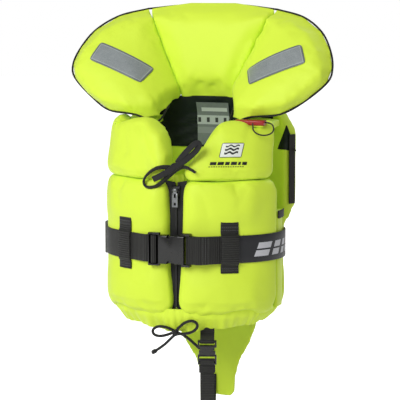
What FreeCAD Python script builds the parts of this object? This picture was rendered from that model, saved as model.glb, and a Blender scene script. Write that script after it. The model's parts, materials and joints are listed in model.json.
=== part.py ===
"""Child's foam life jacket with a head-support collar, as separate sewn and moulded pieces.

Frame: millimetres, +Z up, +X the wearer's left, the front faces -Y. The origin is on the axis of the
wearer's torso at shoulder height, so everything worn hangs below Z = 0 and the collar rises above it.
Angles round the torso are those of the outward normal, in degrees, from the front (-Y) towards +X.
"""
import FreeCAD, Part
import math
import os

V = FreeCAD.Vector

# ---- torso ----
torso_half_width = 128.0
torso_half_depth = 97.0
side_radius = 78.0          # radius of the oval plan at the wearer's sides
back_flat_radius = 300.0    # plan radius of the back panel above the belt, where nothing pulls it in
back_half_width = 132.0

# ---- pads ----
front_pad = 34.0
back_pad = 26.0
side_pad = 10.0
cover_wall = 1.6            # coated fabric with its lining
fit_gap = 0.3               # between a soft piece and its neighbour
pad_edge_round = 14.0
back_edge_round = 8.0
crease_z = -89.0            # between the upper and the lower front pads
pad_bottom_z = -278.0
chest_top_z = -18.0
back_top_z = 14.6           # just under the seam that joins the collar
armhole_bottom_z = -134.0
side_seam_angle = 80.0
back_seam_angle = 104.0

# ---- hem and flap ----
hem_height = 23.0
hem_depth = 14.0            # how far the gathered hem lies inside the pads' faces
hem_thickness = 5.0
flap_length = 144.0
flap_thickness = 6.5

# ---- zip ----
zip_y = -80.0
zip_tape_thickness = 1.0
tooth_pitch = 3.0
tooth_height = 1.2
tooth_depth = 4.6
slider_length = 17.0
slider_width = 13.0
slider_wall = 1.6
pull_length = 24.0
pull_width = 8.4
pull_thickness = 2.0
pull_pin_radius = 0.9

# ---- waist belt ----
belt_z = -182.5
belt_width = 38.0
webbing = 2.0
belt_front_y = -102.0       # the belt bridges the valley between the front pads here
buckle_x = -16.0            # where plug and socket meet
buckle_length = 44.0
buckle_thickness = 13.0
bar_share = 0.16            # half the thickness of a buckle's webbing bar, as a share of the buckle's
plate_share = 0.25          # half the thickness of a buckle's plug, as a share of the buckle's
keeper_width = 25.0
keeper_height = 72.0
keeper_x = 76.0
adjuster_angle = -82.0      # the adjuster's place round the torso

# ---- crotch strap ----
crotch_width = 20.0
crotch_webbing = 1.6
crotch_x = 45.5
crotch_y = -82.0
crotch_joint_z = -330.0     # where the small plug and socket meet
crotch_turn = 17.5          # the strap's plane is turned this much towards the wearer's left
crotch_buckle_length = 20.0
crotch_buckle_thickness = 9.0

# ---- collar ----
collar_thickness = 34.0
collar_edge = 15.0          # from the piped seam to the full thickness
piping_diameter = 3.4
patch_length = 96.0
patch_width = 36.0
patch_thickness = 0.8

# ---- cords ----
tie_diameter = 6.0
hem_cord_diameter = 4.0
whistle_cord_diameter = 2.0

# the oval plan: two arcs of side_radius at the sides, tangent to two wider arcs front and back
side_centre = torso_half_width - side_radius
wide_centre = ((side_centre ** 2 - (torso_half_depth - side_radius) ** 2)
               / (2 * (torso_half_depth - side_radius)))
wide_radius = torso_half_depth + wide_centre
junction_angle = math.degrees(math.atan2(side_centre, wide_centre))

parts = {}


# ---------------------------------------------------------------- helpers
def oval_point(angle, depth):
    """Point of the torso oval, depth millimetres inside it, where its normal stands at angle."""
    angle = (angle + 180.0) % 360.0 - 180.0
    c = math.cos(math.radians(angle))
    s = math.sin(math.radians(angle))
    if abs(angle) <= junction_angle:
        cx, cy, radius = 0.0, wide_centre, wide_radius
    elif abs(angle) >= 180.0 - junction_angle:
        cx, cy, radius = 0.0, -wide_centre, wide_radius
    else:
        cx, cy, radius = math.copysign(side_centre, angle), 0.0, side_radius
    return cx + (radius - depth) * s, cy - (radius - depth) * c


def back_point(angle, depth, flat):
    """Point of the back panel: the oval, blended by flat (0 to 1) into the wide flat plan."""
    x0, y0 = oval_point(angle, depth)
    turn = math.radians((180.0 - angle) / (180.0 - back_seam_angle)
                        * math.degrees(math.asin(back_half_width / back_flat_radius)))
    x1 = (back_flat_radius - depth) * math.sin(turn)
    y1 = torso_half_depth - back_flat_radius + (back_flat_radius - depth) * math.cos(turn)
    return x0 + (x1 - x0) * flat, y0 + (y1 - y0) * flat


def oval_edges(start, end, depth, z):
    """Arcs along the oval from angle start to angle end (end > start), split where the radius changes."""
    breaks = [k * 180.0 + s * junction_angle for k in range(-2, 4) for s in (-1, 1)]
    angles = [start] + sorted(b for b in breaks if start + 0.01 < b < end - 0.01) + [end]
    ends = [V(*oval_point(t, depth), z) for t in angles]
    middles = [V(*oval_point((a + b) / 2, depth), z) for a, b in zip(angles, angles[1:])]
    return [Part.Arc(p, m, q).toShape() for p, m, q in zip(ends, middles, ends[1:])]


def strip(start, end, inner, outer, z_low, z_high):
    """Band that follows the torso oval between two depths (inner > outer) and two heights."""
    outside = oval_edges(start, end, outer, z_low)
    inside = oval_edges(start, end, inner, z_low)
    ends = [Part.LineSegment(outside[-1].Vertexes[-1].Point, inside[-1].Vertexes[-1].Point).toShape(),
            Part.LineSegment(inside[0].Vertexes[0].Point, outside[0].Vertexes[0].Point).toShape()]
    wire = Part.Wire(Part.__sortEdges__(outside + inside + ends))
    return Part.Face(wire).extrude(V(0, 0, z_high - z_low))


def spline(points):
    curve = Part.BSplineCurve()
    curve.interpolate(points)
    return curve.toShape()


def pad(stations, thickness, shrink=0.0, edge_round=pad_edge_round, plan=None):
    """Padded panel, lofted through stations (z, start angle, end angle, lean, inset, flat).

    lean moves a station in +Y and inset pulls it in all round. shrink is what the whole panel is
    reduced by, for the hollow of a cover and for the foam inside it.
    """
    plan = plan or (lambda angle, depth, flat: oval_point(angle, depth))
    radius = wide_radius
    wires = []
    for number, (z, start, end, lean, inset, flat) in enumerate(stations):
        if number == 0:
            z += shrink
        if number == len(stations) - 1:
            z -= shrink
        pull = math.degrees((inset + shrink) / radius)
        start, end = start + pull, end - pull
        span = math.radians(end - start) * radius
        drop_from = max(edge_round - shrink, 1.0)
        near = [0.0, 0.12, 0.35, 0.68, 1.0]
        spans = int(span / 22)
        travel = [drop_from * k for k in near]
        travel += [drop_from + (span - 2 * drop_from) * k / spans for k in range(1, spans)]
        travel += [span - drop_from * k for k in reversed(near)]
        outside, inside = [], []
        for t in travel:
            short = max(0.0, drop_from - min(t, span - t))
            drop = drop_from - math.sqrt(max(drop_from ** 2 - short ** 2, 0.0))
            angle = start + math.degrees(t / radius)
            x, y = plan(angle, inset + shrink + drop * 0.75, flat)
            outside.append(V(x, y + lean, z))
        for k in range(spans + 1):
            x, y = plan(start + (end - start) * k / spans, thickness - inset * 0.4 - shrink, flat)
            inside.append(V(x, y + lean, z))
        inside.reverse()
        wires.append(Part.Wire([spline(outside), Part.LineSegment(outside[-1], inside[0]).toShape(),
                                spline(inside), Part.LineSegment(inside[-1], outside[0]).toShape()]))
    return Part.makeLoft(wires, True, True)


def mirrored(shape):
    return shape.mirror(V(0, 0, 0), V(1, 0, 0))


def covered_pad(name, stations, thickness, edge_round=pad_edge_round, plan=None):
    """A sewn cover and the foam slab inside it."""
    hollow = pad(stations, thickness, cover_wall, edge_round, plan)
    parts[name + "_cover"] = pad(stations, thickness, 0.0, edge_round, plan).cut(hollow)
    parts[name + "_foam"] = pad(stations, thickness, cover_wall + fit_gap, edge_round, plan)


def box(x0, x1, y0, y1, z0, z1):
    return Part.makeBox(x1 - x0, y1 - y0, z1 - z0, V(x0, y0, z0))


def prism(points, direction):
    """Prism of a closed outline of straight sides."""
    return Part.Face(Part.makePolygon(points + [points[0]])).extrude(direction)


def tube(name, points, diameter):
    """Round cord along straight runs joined by tangent arcs, as large as the runs allow."""
    pts = [V(*p) for p in points]
    runs = [(b - a).Length for a, b in zip(pts, pts[1:])]
    edges, here, radii = [], pts[0], []
    for i in range(1, len(pts) - 1):
        back, ahead = (pts[i - 1] - pts[i]).normalize(), (pts[i + 1] - pts[i]).normalize()
        turn = math.pi - back.getAngle(ahead)
        reach = 0.45 * min(runs[i - 1], runs[i])
        begin, finish = pts[i] + back * reach, pts[i] + ahead * reach
        bisector = (back + ahead).normalize()
        radius = reach / math.tan(turn / 2)
        radii.append(round(radius, 1))
        middle = pts[i] + bisector * (radius / math.cos(turn / 2) - radius)
        edges.append(Part.LineSegment(here, begin).toShape())
        edges.append(Part.Arc(begin, middle, finish).toShape())
        here = finish
    edges.append(Part.LineSegment(here, pts[-1]).toShape())
    path = Part.Wire(edges)
    circle = Part.Wire(Part.makeCircle(diameter / 2, pts[0], pts[1] - pts[0]))
    solid = path.makePipeShell([circle], True, False)
    section = math.pi * diameter ** 2 / 4
    print(f"{name}: radii {radii}, length {path.Length:.1f}, volume ratio "
          f"{solid.Volume / (section * path.Length):.4f}")
    return solid


# ---------------------------------------------------------------- front and back pads
def valley_angle(z):
    """Angle of a lower front pad's inner edge: the valley over the zip closes towards the hem."""
    share = (crease_z - z) / (crease_z - pad_bottom_z)
    return 4.8 - 1.7 * share


lower_front = [
    (pad_bottom_z, valley_angle(pad_bottom_z), side_seam_angle, 0.0, 13.0, 0.0),
    (pad_bottom_z + 7, valley_angle(pad_bottom_z + 7), side_seam_angle, 0.0, 4.0, 0.0),
    (pad_bottom_z + 20, valley_angle(pad_bottom_z + 20), side_seam_angle, 0.0, 0.0, 0.0),
    (crease_z - 14, valley_angle(crease_z - 14), side_seam_angle, 0.0, 0.0, 0.0),
    (crease_z - 4, valley_angle(crease_z - 4), side_seam_angle, 0.0, 3.5, 0.0),
    (crease_z - fit_gap, valley_angle(crease_z), side_seam_angle, 0.0, 8.0, 0.0)]
covered_pad("front_lower_left", lower_front, front_pad)
covered_pad("front_lower_right", lower_front, front_pad)

upper_edges = {"left": (4.8, 11.5, 17.5, 23.0), "right": (4.8, 5.0, 9.5, 18.0)}
for side, (low, first, second, top) in upper_edges.items():
    upper_front = [
        (crease_z, low, 75.0, 0.0, 8.0, 0.0),
        (crease_z + 4, low, 75.0, 0.0, 3.5, 0.0),
        (crease_z + 14, low + 0.4, 74.0, 1.0, 0.0, 0.0),
        (-54.0, first, 72.0, 7.0, 0.0, 0.0),
        (-36.0, second, 69.0, 17.0, 0.0, 0.0),
        (chest_top_z - 7, top - 1.5, 66.0, 27.0, 2.0, 0.0),
        (chest_top_z, top, 64.0, 35.0, 8.0, 0.0)]
    covered_pad("front_upper_" + side, upper_front, front_pad)

back_plan = [
    (pad_bottom_z, back_seam_angle, 360 - back_seam_angle, 0.0, 10.0, 0.0),
    (pad_bottom_z + 7, back_seam_angle, 360 - back_seam_angle, 0.0, 4.0, 0.0),
    (pad_bottom_z + 20, back_seam_angle, 360 - back_seam_angle, 0.0, 0.0, 0.0),
    (-160.0, back_seam_angle, 360 - back_seam_angle, 0.0, 0.0, 0.0),
    (armhole_bottom_z - 2, back_seam_angle, 360 - back_seam_angle, 0.0, 0.0, 1.0),
    (-30.0, back_seam_angle, 360 - back_seam_angle, 0.0, 0.0, 1.0),
    (-6.0, back_seam_angle + 6, 354 - back_seam_angle, -3.0, 3.0, 1.0),
    (back_top_z, back_seam_angle + 14, 346 - back_seam_angle, -12.7, 9.0, 1.0)]
covered_pad("back", back_plan, back_pad, back_edge_round, back_point)

for name in list(parts):
    if "_right_" in name:
        parts[name] = mirrored(parts[name])


def back_face(z):
    """Depth and lean of the back pad's inner face at a height in its upper half."""
    for (z0, _, _, lean0, inset0, _), (z1, _, _, lean1, inset1, _) in zip(back_plan, back_plan[1:]):
        if z0 <= z <= z1:
            share = (z - z0) / (z1 - z0)
            return back_pad - 0.4 * (inset0 + (inset1 - inset0) * share), lean0 + (lean1 - lean0) * share
    return back_pad, 0.0


def back_sheet(start, end, above, wall, heights):
    """Sheet on the wearer's side of the back pad; above is its clearance from that pad's face."""
    wires = []
    for z in heights:
        depth, lean = back_face(z)
        turns = [start + (end - start) * k / 8 for k in range(9)]
        outside = [V(*back_point(t, depth + above, 1.0), z) + V(0, lean, 0) for t in turns]
        inside = [V(*back_point(t, depth + above + wall, 1.0), z) + V(0, lean, 0) for t in reversed(turns)]
        wires.append(Part.Wire([spline(outside), Part.LineSegment(outside[-1], inside[0]).toShape(),
                                spline(inside), Part.LineSegment(inside[-1], outside[0]).toShape()]))
    return Part.makeLoft(wires, True, True)


# dark lining on the wearer's side of the back pad, and the care label sewn to it
lining_wall = 1.2
lining_heights = (-56.0, -30.0, -6.0, back_top_z - 0.8)
label_wall = 0.5
parts["back_lining"] = back_sheet(118.0, 242.0, fit_gap, lining_wall, lining_heights)
parts["care_label"] = back_sheet(162.0, 192.0, 2 * fit_gap + lining_wall, label_wall, (-53.0, -30.0, -6.0, 9.0))

# side panels close the jacket between the front and the back pads, below the armholes
side_gap = math.degrees(fit_gap / side_radius)
side_panel = strip(side_seam_angle + side_gap, back_seam_angle - side_gap, side_pad, 2.0,
                   pad_bottom_z + 6, armhole_bottom_z)
parts["side_panels"] = Part.makeCompound([side_panel, mirrored(side_panel)])

# black binding: along the bottom of the armhole and up the front edge of the back pad
binding_width, binding_wall = 12.0, 1.4
binding_low = strip(side_seam_angle + side_gap, back_seam_angle - side_gap, 2.0 - fit_gap / 2,
                    2.0 - fit_gap / 2 - binding_wall, armhole_bottom_z - binding_width, armhole_bottom_z)
edge_inner = V(*back_point(back_seam_angle, back_pad - 5, 1.0), 0)
edge_outer = V(*back_point(back_seam_angle, back_edge_round, 1.0), 0)
edge_out = (edge_outer - edge_inner).normalize().cross(V(0, 0, 1))
binding_foot = [edge_inner + edge_out * fit_gap, edge_outer + edge_out * fit_gap,
                edge_outer + edge_out * (fit_gap + binding_wall), edge_inner + edge_out * (fit_gap + binding_wall)]
binding_high = prism([p + V(0, 0, armhole_bottom_z + 2) for p in binding_foot], V(0, 0, -32.0 - armhole_bottom_z - 2))
parts["armhole_bindings"] = Part.makeCompound([binding_low, binding_high, mirrored(binding_low),
                                               mirrored(binding_high)])

# shoulder yokes join the tops of the front pads to the back pad
yoke_z = chest_top_z + fit_gap
back_front_y = torso_half_depth - back_pad      # past the back pad's front face, which trims the yokes
yoke_profile = [V(0, -38, yoke_z), V(0, -38, yoke_z + 3), V(0, -6, yoke_z + 3), V(0, 24, -12), V(0, back_front_y, -8),
                V(0, back_front_y, -18), V(0, 26, -23), V(0, 12, -25), V(0, 12, yoke_z)]
yoke_inner_x, yoke_outer_x = 60.0, 112.0
yoke = prism([p + V(yoke_inner_x, 0, 0) for p in yoke_profile], V(yoke_outer_x - yoke_inner_x, 0, 0))
yoke = yoke.cut(back_sheet(100.0, 180.0, -back_pad - 6, back_pad + 6 + 2 * fit_gap + lining_wall,
                           (-60.0, -30.0, -6.0, back_top_z)))
parts["shoulder_yokes"] = Part.makeCompound([yoke, mirrored(yoke)])

# hem casing: gathered band under the pads, open at the front where its cord is tied
hem_top_z = pad_bottom_z - fit_gap
hem_low_z = hem_top_z - hem_height
hem_opening = 1.2           # degrees to each side of the front
parts["hem_casing"] = strip(hem_opening, 360 - hem_opening, hem_depth + hem_thickness, hem_depth, hem_low_z, hem_top_z)

# crotch flap, sewn to the outside of the hem at the back and narrowing downwards
flap_half = [(66.0, -2.0), (64.0, -32.0), (51.0, -62.0), (34.0, -90.0), (28.0, -114.0), (26.0, -137.0),
             (20.0, -flap_length)]
flap_centre_x = 6.0
flap_top_z = hem_top_z - 4
flap_outline = [V(flap_centre_x + x, 0, flap_top_z + z) for x, z in flap_half]
flap_outline += [V(flap_centre_x - x, 0, flap_top_z + z) for x, z in reversed(flap_half)]
flap_outer = hem_depth - fit_gap - flap_thickness
flap_band = strip(140, 220, hem_depth - fit_gap, flap_outer, flap_top_z - flap_length - 5, flap_top_z)
parts["crotch_flap"] = flap_band.common(prism(flap_outline, V(0, 120, 0)))

# ---------------------------------------------------------------- zip
zip_top_z = crease_z - 3
zip_low_z = pad_bottom_z + 2
tape_half = 1.6             # from the zip's middle to a tape's woven edge


def valley_x(z):
    """Half width of the valley between the lower pads, at the zip's depth."""
    return oval_point(valley_angle(z), torso_half_depth + zip_y)[0]


tape = prism([V(tape_half, zip_y, zip_top_z), V(valley_x(zip_top_z) - fit_gap / 2, zip_y, zip_top_z),
              V(valley_x(zip_low_z) - fit_gap / 2, zip_y, zip_low_z), V(tape_half, zip_y, zip_low_z)],
             V(0, zip_tape_thickness, 0))
parts["zip_tapes"] = Part.makeCompound([tape, mirrored(tape)])

chain_top_z = zip_top_z - 6 - slider_length / 2
chain_low_z = zip_low_z + 8
tooth_count = int((chain_top_z - chain_low_z) / tooth_pitch)


def comb(offset):
    """One side's row of moulded teeth on its cord, as one comb; offset shifts it along the chain."""
    spine, root, tip = tape_half - fit_gap, 1.0, -0.8
    points = [V(spine, 0, chain_top_z)]
    for k in range(tooth_count):
        top = chain_top_z - offset - k * tooth_pitch - 0.1
        points += [V(root, 0, top), V(tip, 0, top), V(tip, 0, top - tooth_height), V(root, 0, top - tooth_height)]
    points.append(V(root, 0, chain_low_z))
    points.append(V(spine, 0, chain_low_z))
    points.insert(1, V(root, 0, chain_top_z))
    shape = prism(points, V(0, tooth_depth, 0))
    shape.translate(V(0, zip_y + zip_tape_thickness / 2 - tooth_depth / 2, 0))
    return shape


parts["zip_teeth"] = Part.makeCompound([comb(0.0), mirrored(comb(tooth_pitch / 2))])
stop_box = box(-3.2, 3.2, zip_y - 2.2, zip_y - 0.05, chain_low_z - 6.0, chain_low_z - 0.3)
stop_top = box(tape_half + 0.4, tape_half + 2.2, zip_y - 1.6, zip_y - 0.05, zip_top_z - 4.5, zip_top_z - 1.0)
parts["zip_stops"] = Part.makeCompound([stop_box, stop_top, mirrored(stop_top)])

# slider: two plates joined by a divider at the top, flanges at both sides, ears for the pull's pin
slider_top_z = zip_top_z - 5.0
slider_mid_y = zip_y + zip_tape_thickness / 2
front_plate_y = slider_mid_y - tooth_depth / 2 - fit_gap - slider_wall
back_plate_y = slider_mid_y + tooth_depth / 2 + fit_gap
plate = prism([V(-slider_width / 2, 0, slider_top_z), V(slider_width / 2, 0, slider_top_z),
               V(slider_width / 2 - 2, 0, slider_top_z - slider_length),
               V(-slider_width / 2 + 2, 0, slider_top_z - slider_length)], V(0, slider_wall, 0))
front_plate, back_plate = plate.copy(), plate.copy()
front_plate.translate(V(0, front_plate_y, 0))
back_plate.translate(V(0, back_plate_y, 0))
divider = box(-0.9, 0.9, front_plate_y + 0.2, back_plate_y + slider_wall - 0.2, slider_top_z - 4.5, slider_top_z)
flange = prism([V(slider_width / 2 - 1.4, 0, slider_top_z), V(slider_width / 2, 0, slider_top_z),
                V(slider_width / 2 - 2, 0, slider_top_z - slider_length),
                V(slider_width / 2 - 3.4, 0, slider_top_z - slider_length)],
               V(0, zip_y - fit_gap - front_plate_y - 0.2, 0))
flange.translate(V(0, front_plate_y + 0.2, 0))
pull_pin_z = slider_top_z - 5.0
pull_pin_y = front_plate_y - 2.6
ear = box(3.0, 4.4, pull_pin_y - 1.6, front_plate_y + 0.2, pull_pin_z - 1.8, pull_pin_z + 1.8)
pin = Part.makeCylinder(pull_pin_radius, 7.0, V(-3.5, pull_pin_y, pull_pin_z), V(1, 0, 0))
parts["zip_slider"] = front_plate.multiFuse([back_plate, divider, flange, mirrored(flange), ear, mirrored(ear),
                                             pin]).removeSplitter()
eye_outer = pull_pin_radius + 0.25 + 1.2
pull_low_z = pull_pin_z - pull_length
pull = box(-pull_width / 2, pull_width / 2, pull_pin_y - pull_thickness / 2, pull_pin_y + pull_thickness / 2,
           pull_low_z, pull_pin_z - 4.5)
pull = pull.fuse(box(-2.6, 2.6, pull_pin_y - pull_thickness / 2, pull_pin_y + pull_thickness / 2,
                     pull_pin_z - 5.0, pull_pin_z))
pull = pull.fuse(Part.makeCylinder(eye_outer, 5.2, V(-2.6, pull_pin_y, pull_pin_z), V(1, 0, 0)))
pull = pull.cut(Part.makeCylinder(pull_pin_radius + 0.25, 20, V(-10, pull_pin_y, pull_pin_z), V(1, 0, 0)))
pull = pull.cut(box(-1.7, 1.7, pull_pin_y - 5, pull_pin_y + 5, pull_low_z + 2.4, pull_low_z + 6.4))
pull = pull.cut(box(-1.2, 1.2, pull_pin_y - 5, pull_pin_y + 5, pull_pin_z - 11.0, pull_pin_z - 5.5))
parts["zip_pull"] = pull.removeSplitter()

# fold of cover fabric behind the top of the zip
guard_y = slider_mid_y + tooth_depth / 2 + fit_gap + slider_wall + 0.8
guard_top_z, guard_low_z = zip_top_z + 11, zip_low_z + 8
guard_top, guard_low = valley_x(zip_top_z) - 1.4, valley_x(guard_low_z) - 1.4
parts["zip_guard"] = prism([V(-guard_top, guard_y, guard_top_z), V(guard_top, guard_y, guard_top_z),
                            V(guard_low, guard_y, guard_low_z), V(-guard_low, guard_y, guard_low_z)],
                           V(0, 2.5, 0))

# ---------------------------------------------------------------- waist belt
belt_low_z, belt_high_z = belt_z - belt_width / 2, belt_z + belt_width / 2
belt_in = -fit_gap
belt_out = belt_in - webbing
bridge_angle = 26.0         # where the belt leaves the pads to bridge the valley
sewn_angle = 32.0           # where the doubled webbing is sewn to the printed belt, under the keeper

doubled = 2 * webbing + fit_gap
doubled_band = strip(bridge_angle, sewn_angle, belt_in, belt_in - doubled, belt_low_z, belt_high_z)
start_in = V(*oval_point(bridge_angle, belt_in), belt_low_z)
start_out = V(*oval_point(bridge_angle, belt_in - doubled), belt_low_z)
socket_end_x = buckle_x + buckle_length
bar_x0, bar_x1 = socket_end_x - 3.5, socket_end_x
bar_half = bar_share * buckle_thickness
loop_x = bar_x0 - fit_gap - webbing
converge_x = socket_end_x + 5.0
inner_back, outer_front = belt_front_y + bar_half + fit_gap + webbing, belt_front_y - bar_half - fit_gap - webbing
up = V(0, 0, belt_width)
loop_outline = [start_in, start_out, V(converge_x, outer_front + 2.6, belt_low_z), V(bar_x1, outer_front, belt_low_z),
                V(loop_x, outer_front, belt_low_z), V(loop_x, inner_back, belt_low_z),
                V(bar_x1, inner_back, belt_low_z), V(converge_x, inner_back - 0.6, belt_low_z)]
loop_hole = box(loop_x + webbing, bar_x1 + fit_gap, belt_front_y - bar_half - fit_gap, belt_front_y + bar_half + fit_gap,
                belt_low_z - 1, belt_high_z + 1)
parts["waist_webbing_socket"] = prism(loop_outline, up).cut(loop_hole).fuse(doubled_band).removeSplitter()

adjuster_reach = 4.8        # degrees to each side
seam_turn = 0.2             # degrees left between one length of webbing and the next
parts["waist_belt_printed"] = strip(sewn_angle + seam_turn, 360 + adjuster_angle - adjuster_reach - seam_turn,
                                    belt_in, belt_out, belt_low_z, belt_high_z)
parts["waist_webbing_right"] = strip(adjuster_angle + adjuster_reach + seam_turn, -bridge_angle - seam_turn,
                                     belt_in, belt_out, belt_low_z, belt_high_z)

# adjuster at the wearer's right: a three-bar slide that both webbings are sewn round
adjuster_half_height = belt_width / 2 + 4
adjuster = strip(adjuster_angle - adjuster_reach, adjuster_angle + adjuster_reach, belt_in, belt_out - 3.0,
                 belt_z - adjuster_half_height, belt_z + adjuster_half_height)
slot_turn, slot_reach = 2.6, 0.9
for slot in (-slot_turn, slot_turn):
    adjuster = adjuster.cut(strip(adjuster_angle + slot - slot_reach, adjuster_angle + slot + slot_reach, 2, -12,
                                  belt_low_z - 0.5, belt_high_z + 0.5))
parts["waist_adjuster"] = adjuster

# keepers: upright webbing sewn to the pads above and below, with the belt passing under
keeper_reach = math.degrees(keeper_width / 2 / (wide_radius + 4))
keeper_lift = 3.0           # the keepers reach a little further above the belt than below it
keeper_low, keeper_high = belt_z - keeper_height / 2 + keeper_lift, belt_z + keeper_height / 2 + keeper_lift


def keeper(angle, belt_thickness):
    """One keeper; belt_thickness is what passes under it."""
    outside = belt_in - belt_thickness - fit_gap - webbing
    shape = strip(angle - keeper_reach, angle + keeper_reach, belt_in, outside, keeper_low, keeper_high)
    passage = strip(angle - keeper_reach - 2, angle + keeper_reach + 2, 2, outside + webbing,
                    belt_low_z - fit_gap, belt_high_z + fit_gap)
    thin = strip(angle - keeper_reach - 2, angle + keeper_reach + 2, belt_in - webbing, -20, keeper_low - 1,
                 belt_low_z - 6)
    thin_high = strip(angle - keeper_reach - 2, angle + keeper_reach + 2, belt_in - webbing, -20,
                      belt_high_z + 6, keeper_high + 1)
    return shape.cut(passage).cut(thin).cut(thin_high)


keeper_angle = math.degrees(math.asin(keeper_x / wide_radius))
parts["belt_keeper_left"] = keeper(keeper_angle, doubled)
parts["belt_keeper_right"] = keeper(-keeper_angle, webbing)


def side_release(length, body, frame, thickness, webbing_width, base, slot):
    """Side-release buckle in its own frame: x from plug to socket, y across the webbing, z to the front.

    The plug meets the socket at x = 0. Returns socket, plug and the two latch arms.
    """
    wall = 0.17 * thickness
    hollow_y, hollow_z = body / 2 - 2.0, thickness / 2 - wall
    reach = 0.58 * length
    bar = bar_share * thickness
    socket = box(0, length - 7, -body / 2, body / 2, -thickness / 2, thickness / 2)
    socket = socket.makeFillet(min(2.4, thickness * 0.22), [e for e in socket.Edges
                                                           if abs(e.tangentAt(e.FirstParameter).x) > 0.9])
    end = box(length - 12, length, -frame / 2, frame / 2, -thickness * 0.36, thickness * 0.36)
    socket = socket.fuse(end)
    socket = socket.cut(box(-1, reach, -hollow_y, hollow_y, -hollow_z, hollow_z))
    side = webbing_width / 2 + 0.8
    socket = socket.cut(box(length - 3.5 - slot, length - 3.5, -side, side, -thickness, thickness))
    socket = socket.cut(box(length - 4.0, length + 1, -side, side, bar, thickness))
    socket = socket.cut(box(length - 4.0, length + 1, -side, side, -thickness, -bar))
    notch_x, notch = 0.38 * length, 0.13 * length
    for sign in (-1, 1):
        socket = socket.cut(Part.makeCylinder(notch, 2 * thickness, V(notch_x, sign * body / 2, -thickness)))
    gap = 0.3
    blade = plate_share * thickness
    plug = box(-base, -gap, -frame / 2, frame / 2, -blade, blade)
    for start in (-base + 2.2, -base / 2 + 1.2):
        plug = plug.cut(box(start, start + base / 2 - 4.0, -webbing_width / 2 - 0.8, webbing_width / 2 + 0.8,
                            -thickness, thickness))
    tongue = box(-1, reach - 3, -body * 0.12, body * 0.12, -blade, blade)
    plug = plug.fuse(tongue).removeSplitter()
    arm_root, arm_tip, arm_in = hollow_y - 5.5, hollow_y - 1.2, hollow_y - 4.5
    head_y = hollow_y + 1.0
    head_half = math.sqrt(max(notch ** 2 - (body / 2 - hollow_y) ** 2, 0.1)) - 1.0
    outline = [V(0, arm_root, 0), V(notch_x + head_half + 3, arm_in, 0), V(notch_x + head_half + 3, arm_in + 1.6, 0),
               V(notch_x + head_half, head_y, 0), V(notch_x - head_half, head_y, 0),
               V(notch_x - head_half, arm_tip, 0), V(0, arm_root + 3.4, 0)]
    arm = prism(outline, V(0, 0, 2 * blade))
    arm.translate(V(0, 0, -blade))
    other = arm.mirror(V(0, 0, 0), V(0, 1, 0))
    return {"socket": socket.removeSplitter(), "plug": plug, "upper": arm, "lower": other}


def placed(shape, origin, x_axis, y_axis):
    """Copy of a shape moved from its own frame to origin, with its x and y turned to the given axes."""
    x, y = V(*x_axis).normalize(), V(*y_axis).normalize()
    z = x.cross(y)
    matrix = FreeCAD.Matrix(x.x, y.x, z.x, origin[0], x.y, y.y, z.y, origin[1], x.z, y.z, z.z, origin[2], 0, 0, 0, 1)
    moved = shape.copy()
    moved.transformShape(matrix, True)
    return moved


waist_base = 17.0           # the plug's frame, outside the socket
waist_buckle = side_release(buckle_length, belt_width + 2, belt_width + 8, buckle_thickness, belt_width, waist_base, 4.5)
waist_names = {"socket": "waist_buckle_socket", "plug": "waist_buckle_plug", "upper": "waist_latch_arm_upper",
               "lower": "waist_latch_arm_lower"}
for piece, shape in waist_buckle.items():
    parts[waist_names[piece]] = placed(shape, (buckle_x, belt_front_y, belt_z), (1, 0, 0), (0, 0, 1))

# webbing woven through the plug's bars, from the pads
plug_start_in = V(*oval_point(-bridge_angle, belt_in), belt_low_z)
plug_start_out = V(*oval_point(-bridge_angle, belt_out), belt_low_z)
plug_far = buckle_x - waist_base
weave = 1.7
plug_clear = plate_share * buckle_thickness + fit_gap
front_over, back_under = belt_front_y - plug_clear, belt_front_y + plug_clear
slot_a = (plug_far + 2.2 + 0.8, plug_far + 2.2 + 0.8 + weave)
slot_b = (buckle_x - waist_base / 2 + 1.2 + 1.4, buckle_x - waist_base / 2 + 1.2 + 1.4 + weave)
weave_outline = [plug_start_in, plug_start_out, V(plug_far - 1, back_under, belt_low_z),
                 V(slot_a[0], back_under, belt_low_z), V(slot_a[0], front_over - weave, belt_low_z),
                 V(slot_b[1], front_over - weave, belt_low_z), V(slot_b[1], back_under + weave, belt_low_z),
                 V(slot_b[0], back_under + weave, belt_low_z), V(slot_b[0], front_over, belt_low_z),
                 V(slot_a[1], front_over, belt_low_z), V(slot_a[1], back_under + weave, belt_low_z),
                 V(plug_far - 1, back_under + weave, belt_low_z)]
parts["waist_webbing_plug"] = prism(weave_outline, up)

# ---------------------------------------------------------------- crotch strap and its buckle
turn = math.radians(crotch_turn)
across = (math.cos(turn), math.sin(turn), 0)
crotch_base = 14.0
small = side_release(crotch_buckle_length, crotch_width + 3, crotch_width + 6, crotch_buckle_thickness, crotch_width,
                     crotch_base, 3.2)
crotch_names = {"socket": "crotch_buckle_socket", "plug": "crotch_buckle_plug", "upper": "crotch_latch_arm_right",
                "lower": "crotch_latch_arm_left"}
# x of the buckle points up, y of the buckle across the webbing to the wearer's right, z to the front
for piece, shape in small.items():
    parts[crotch_names[piece]] = placed(shape, (crotch_x, crotch_y, crotch_joint_z), (0, 0, 1),
                                 (-across[0], -across[1], 0))


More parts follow.
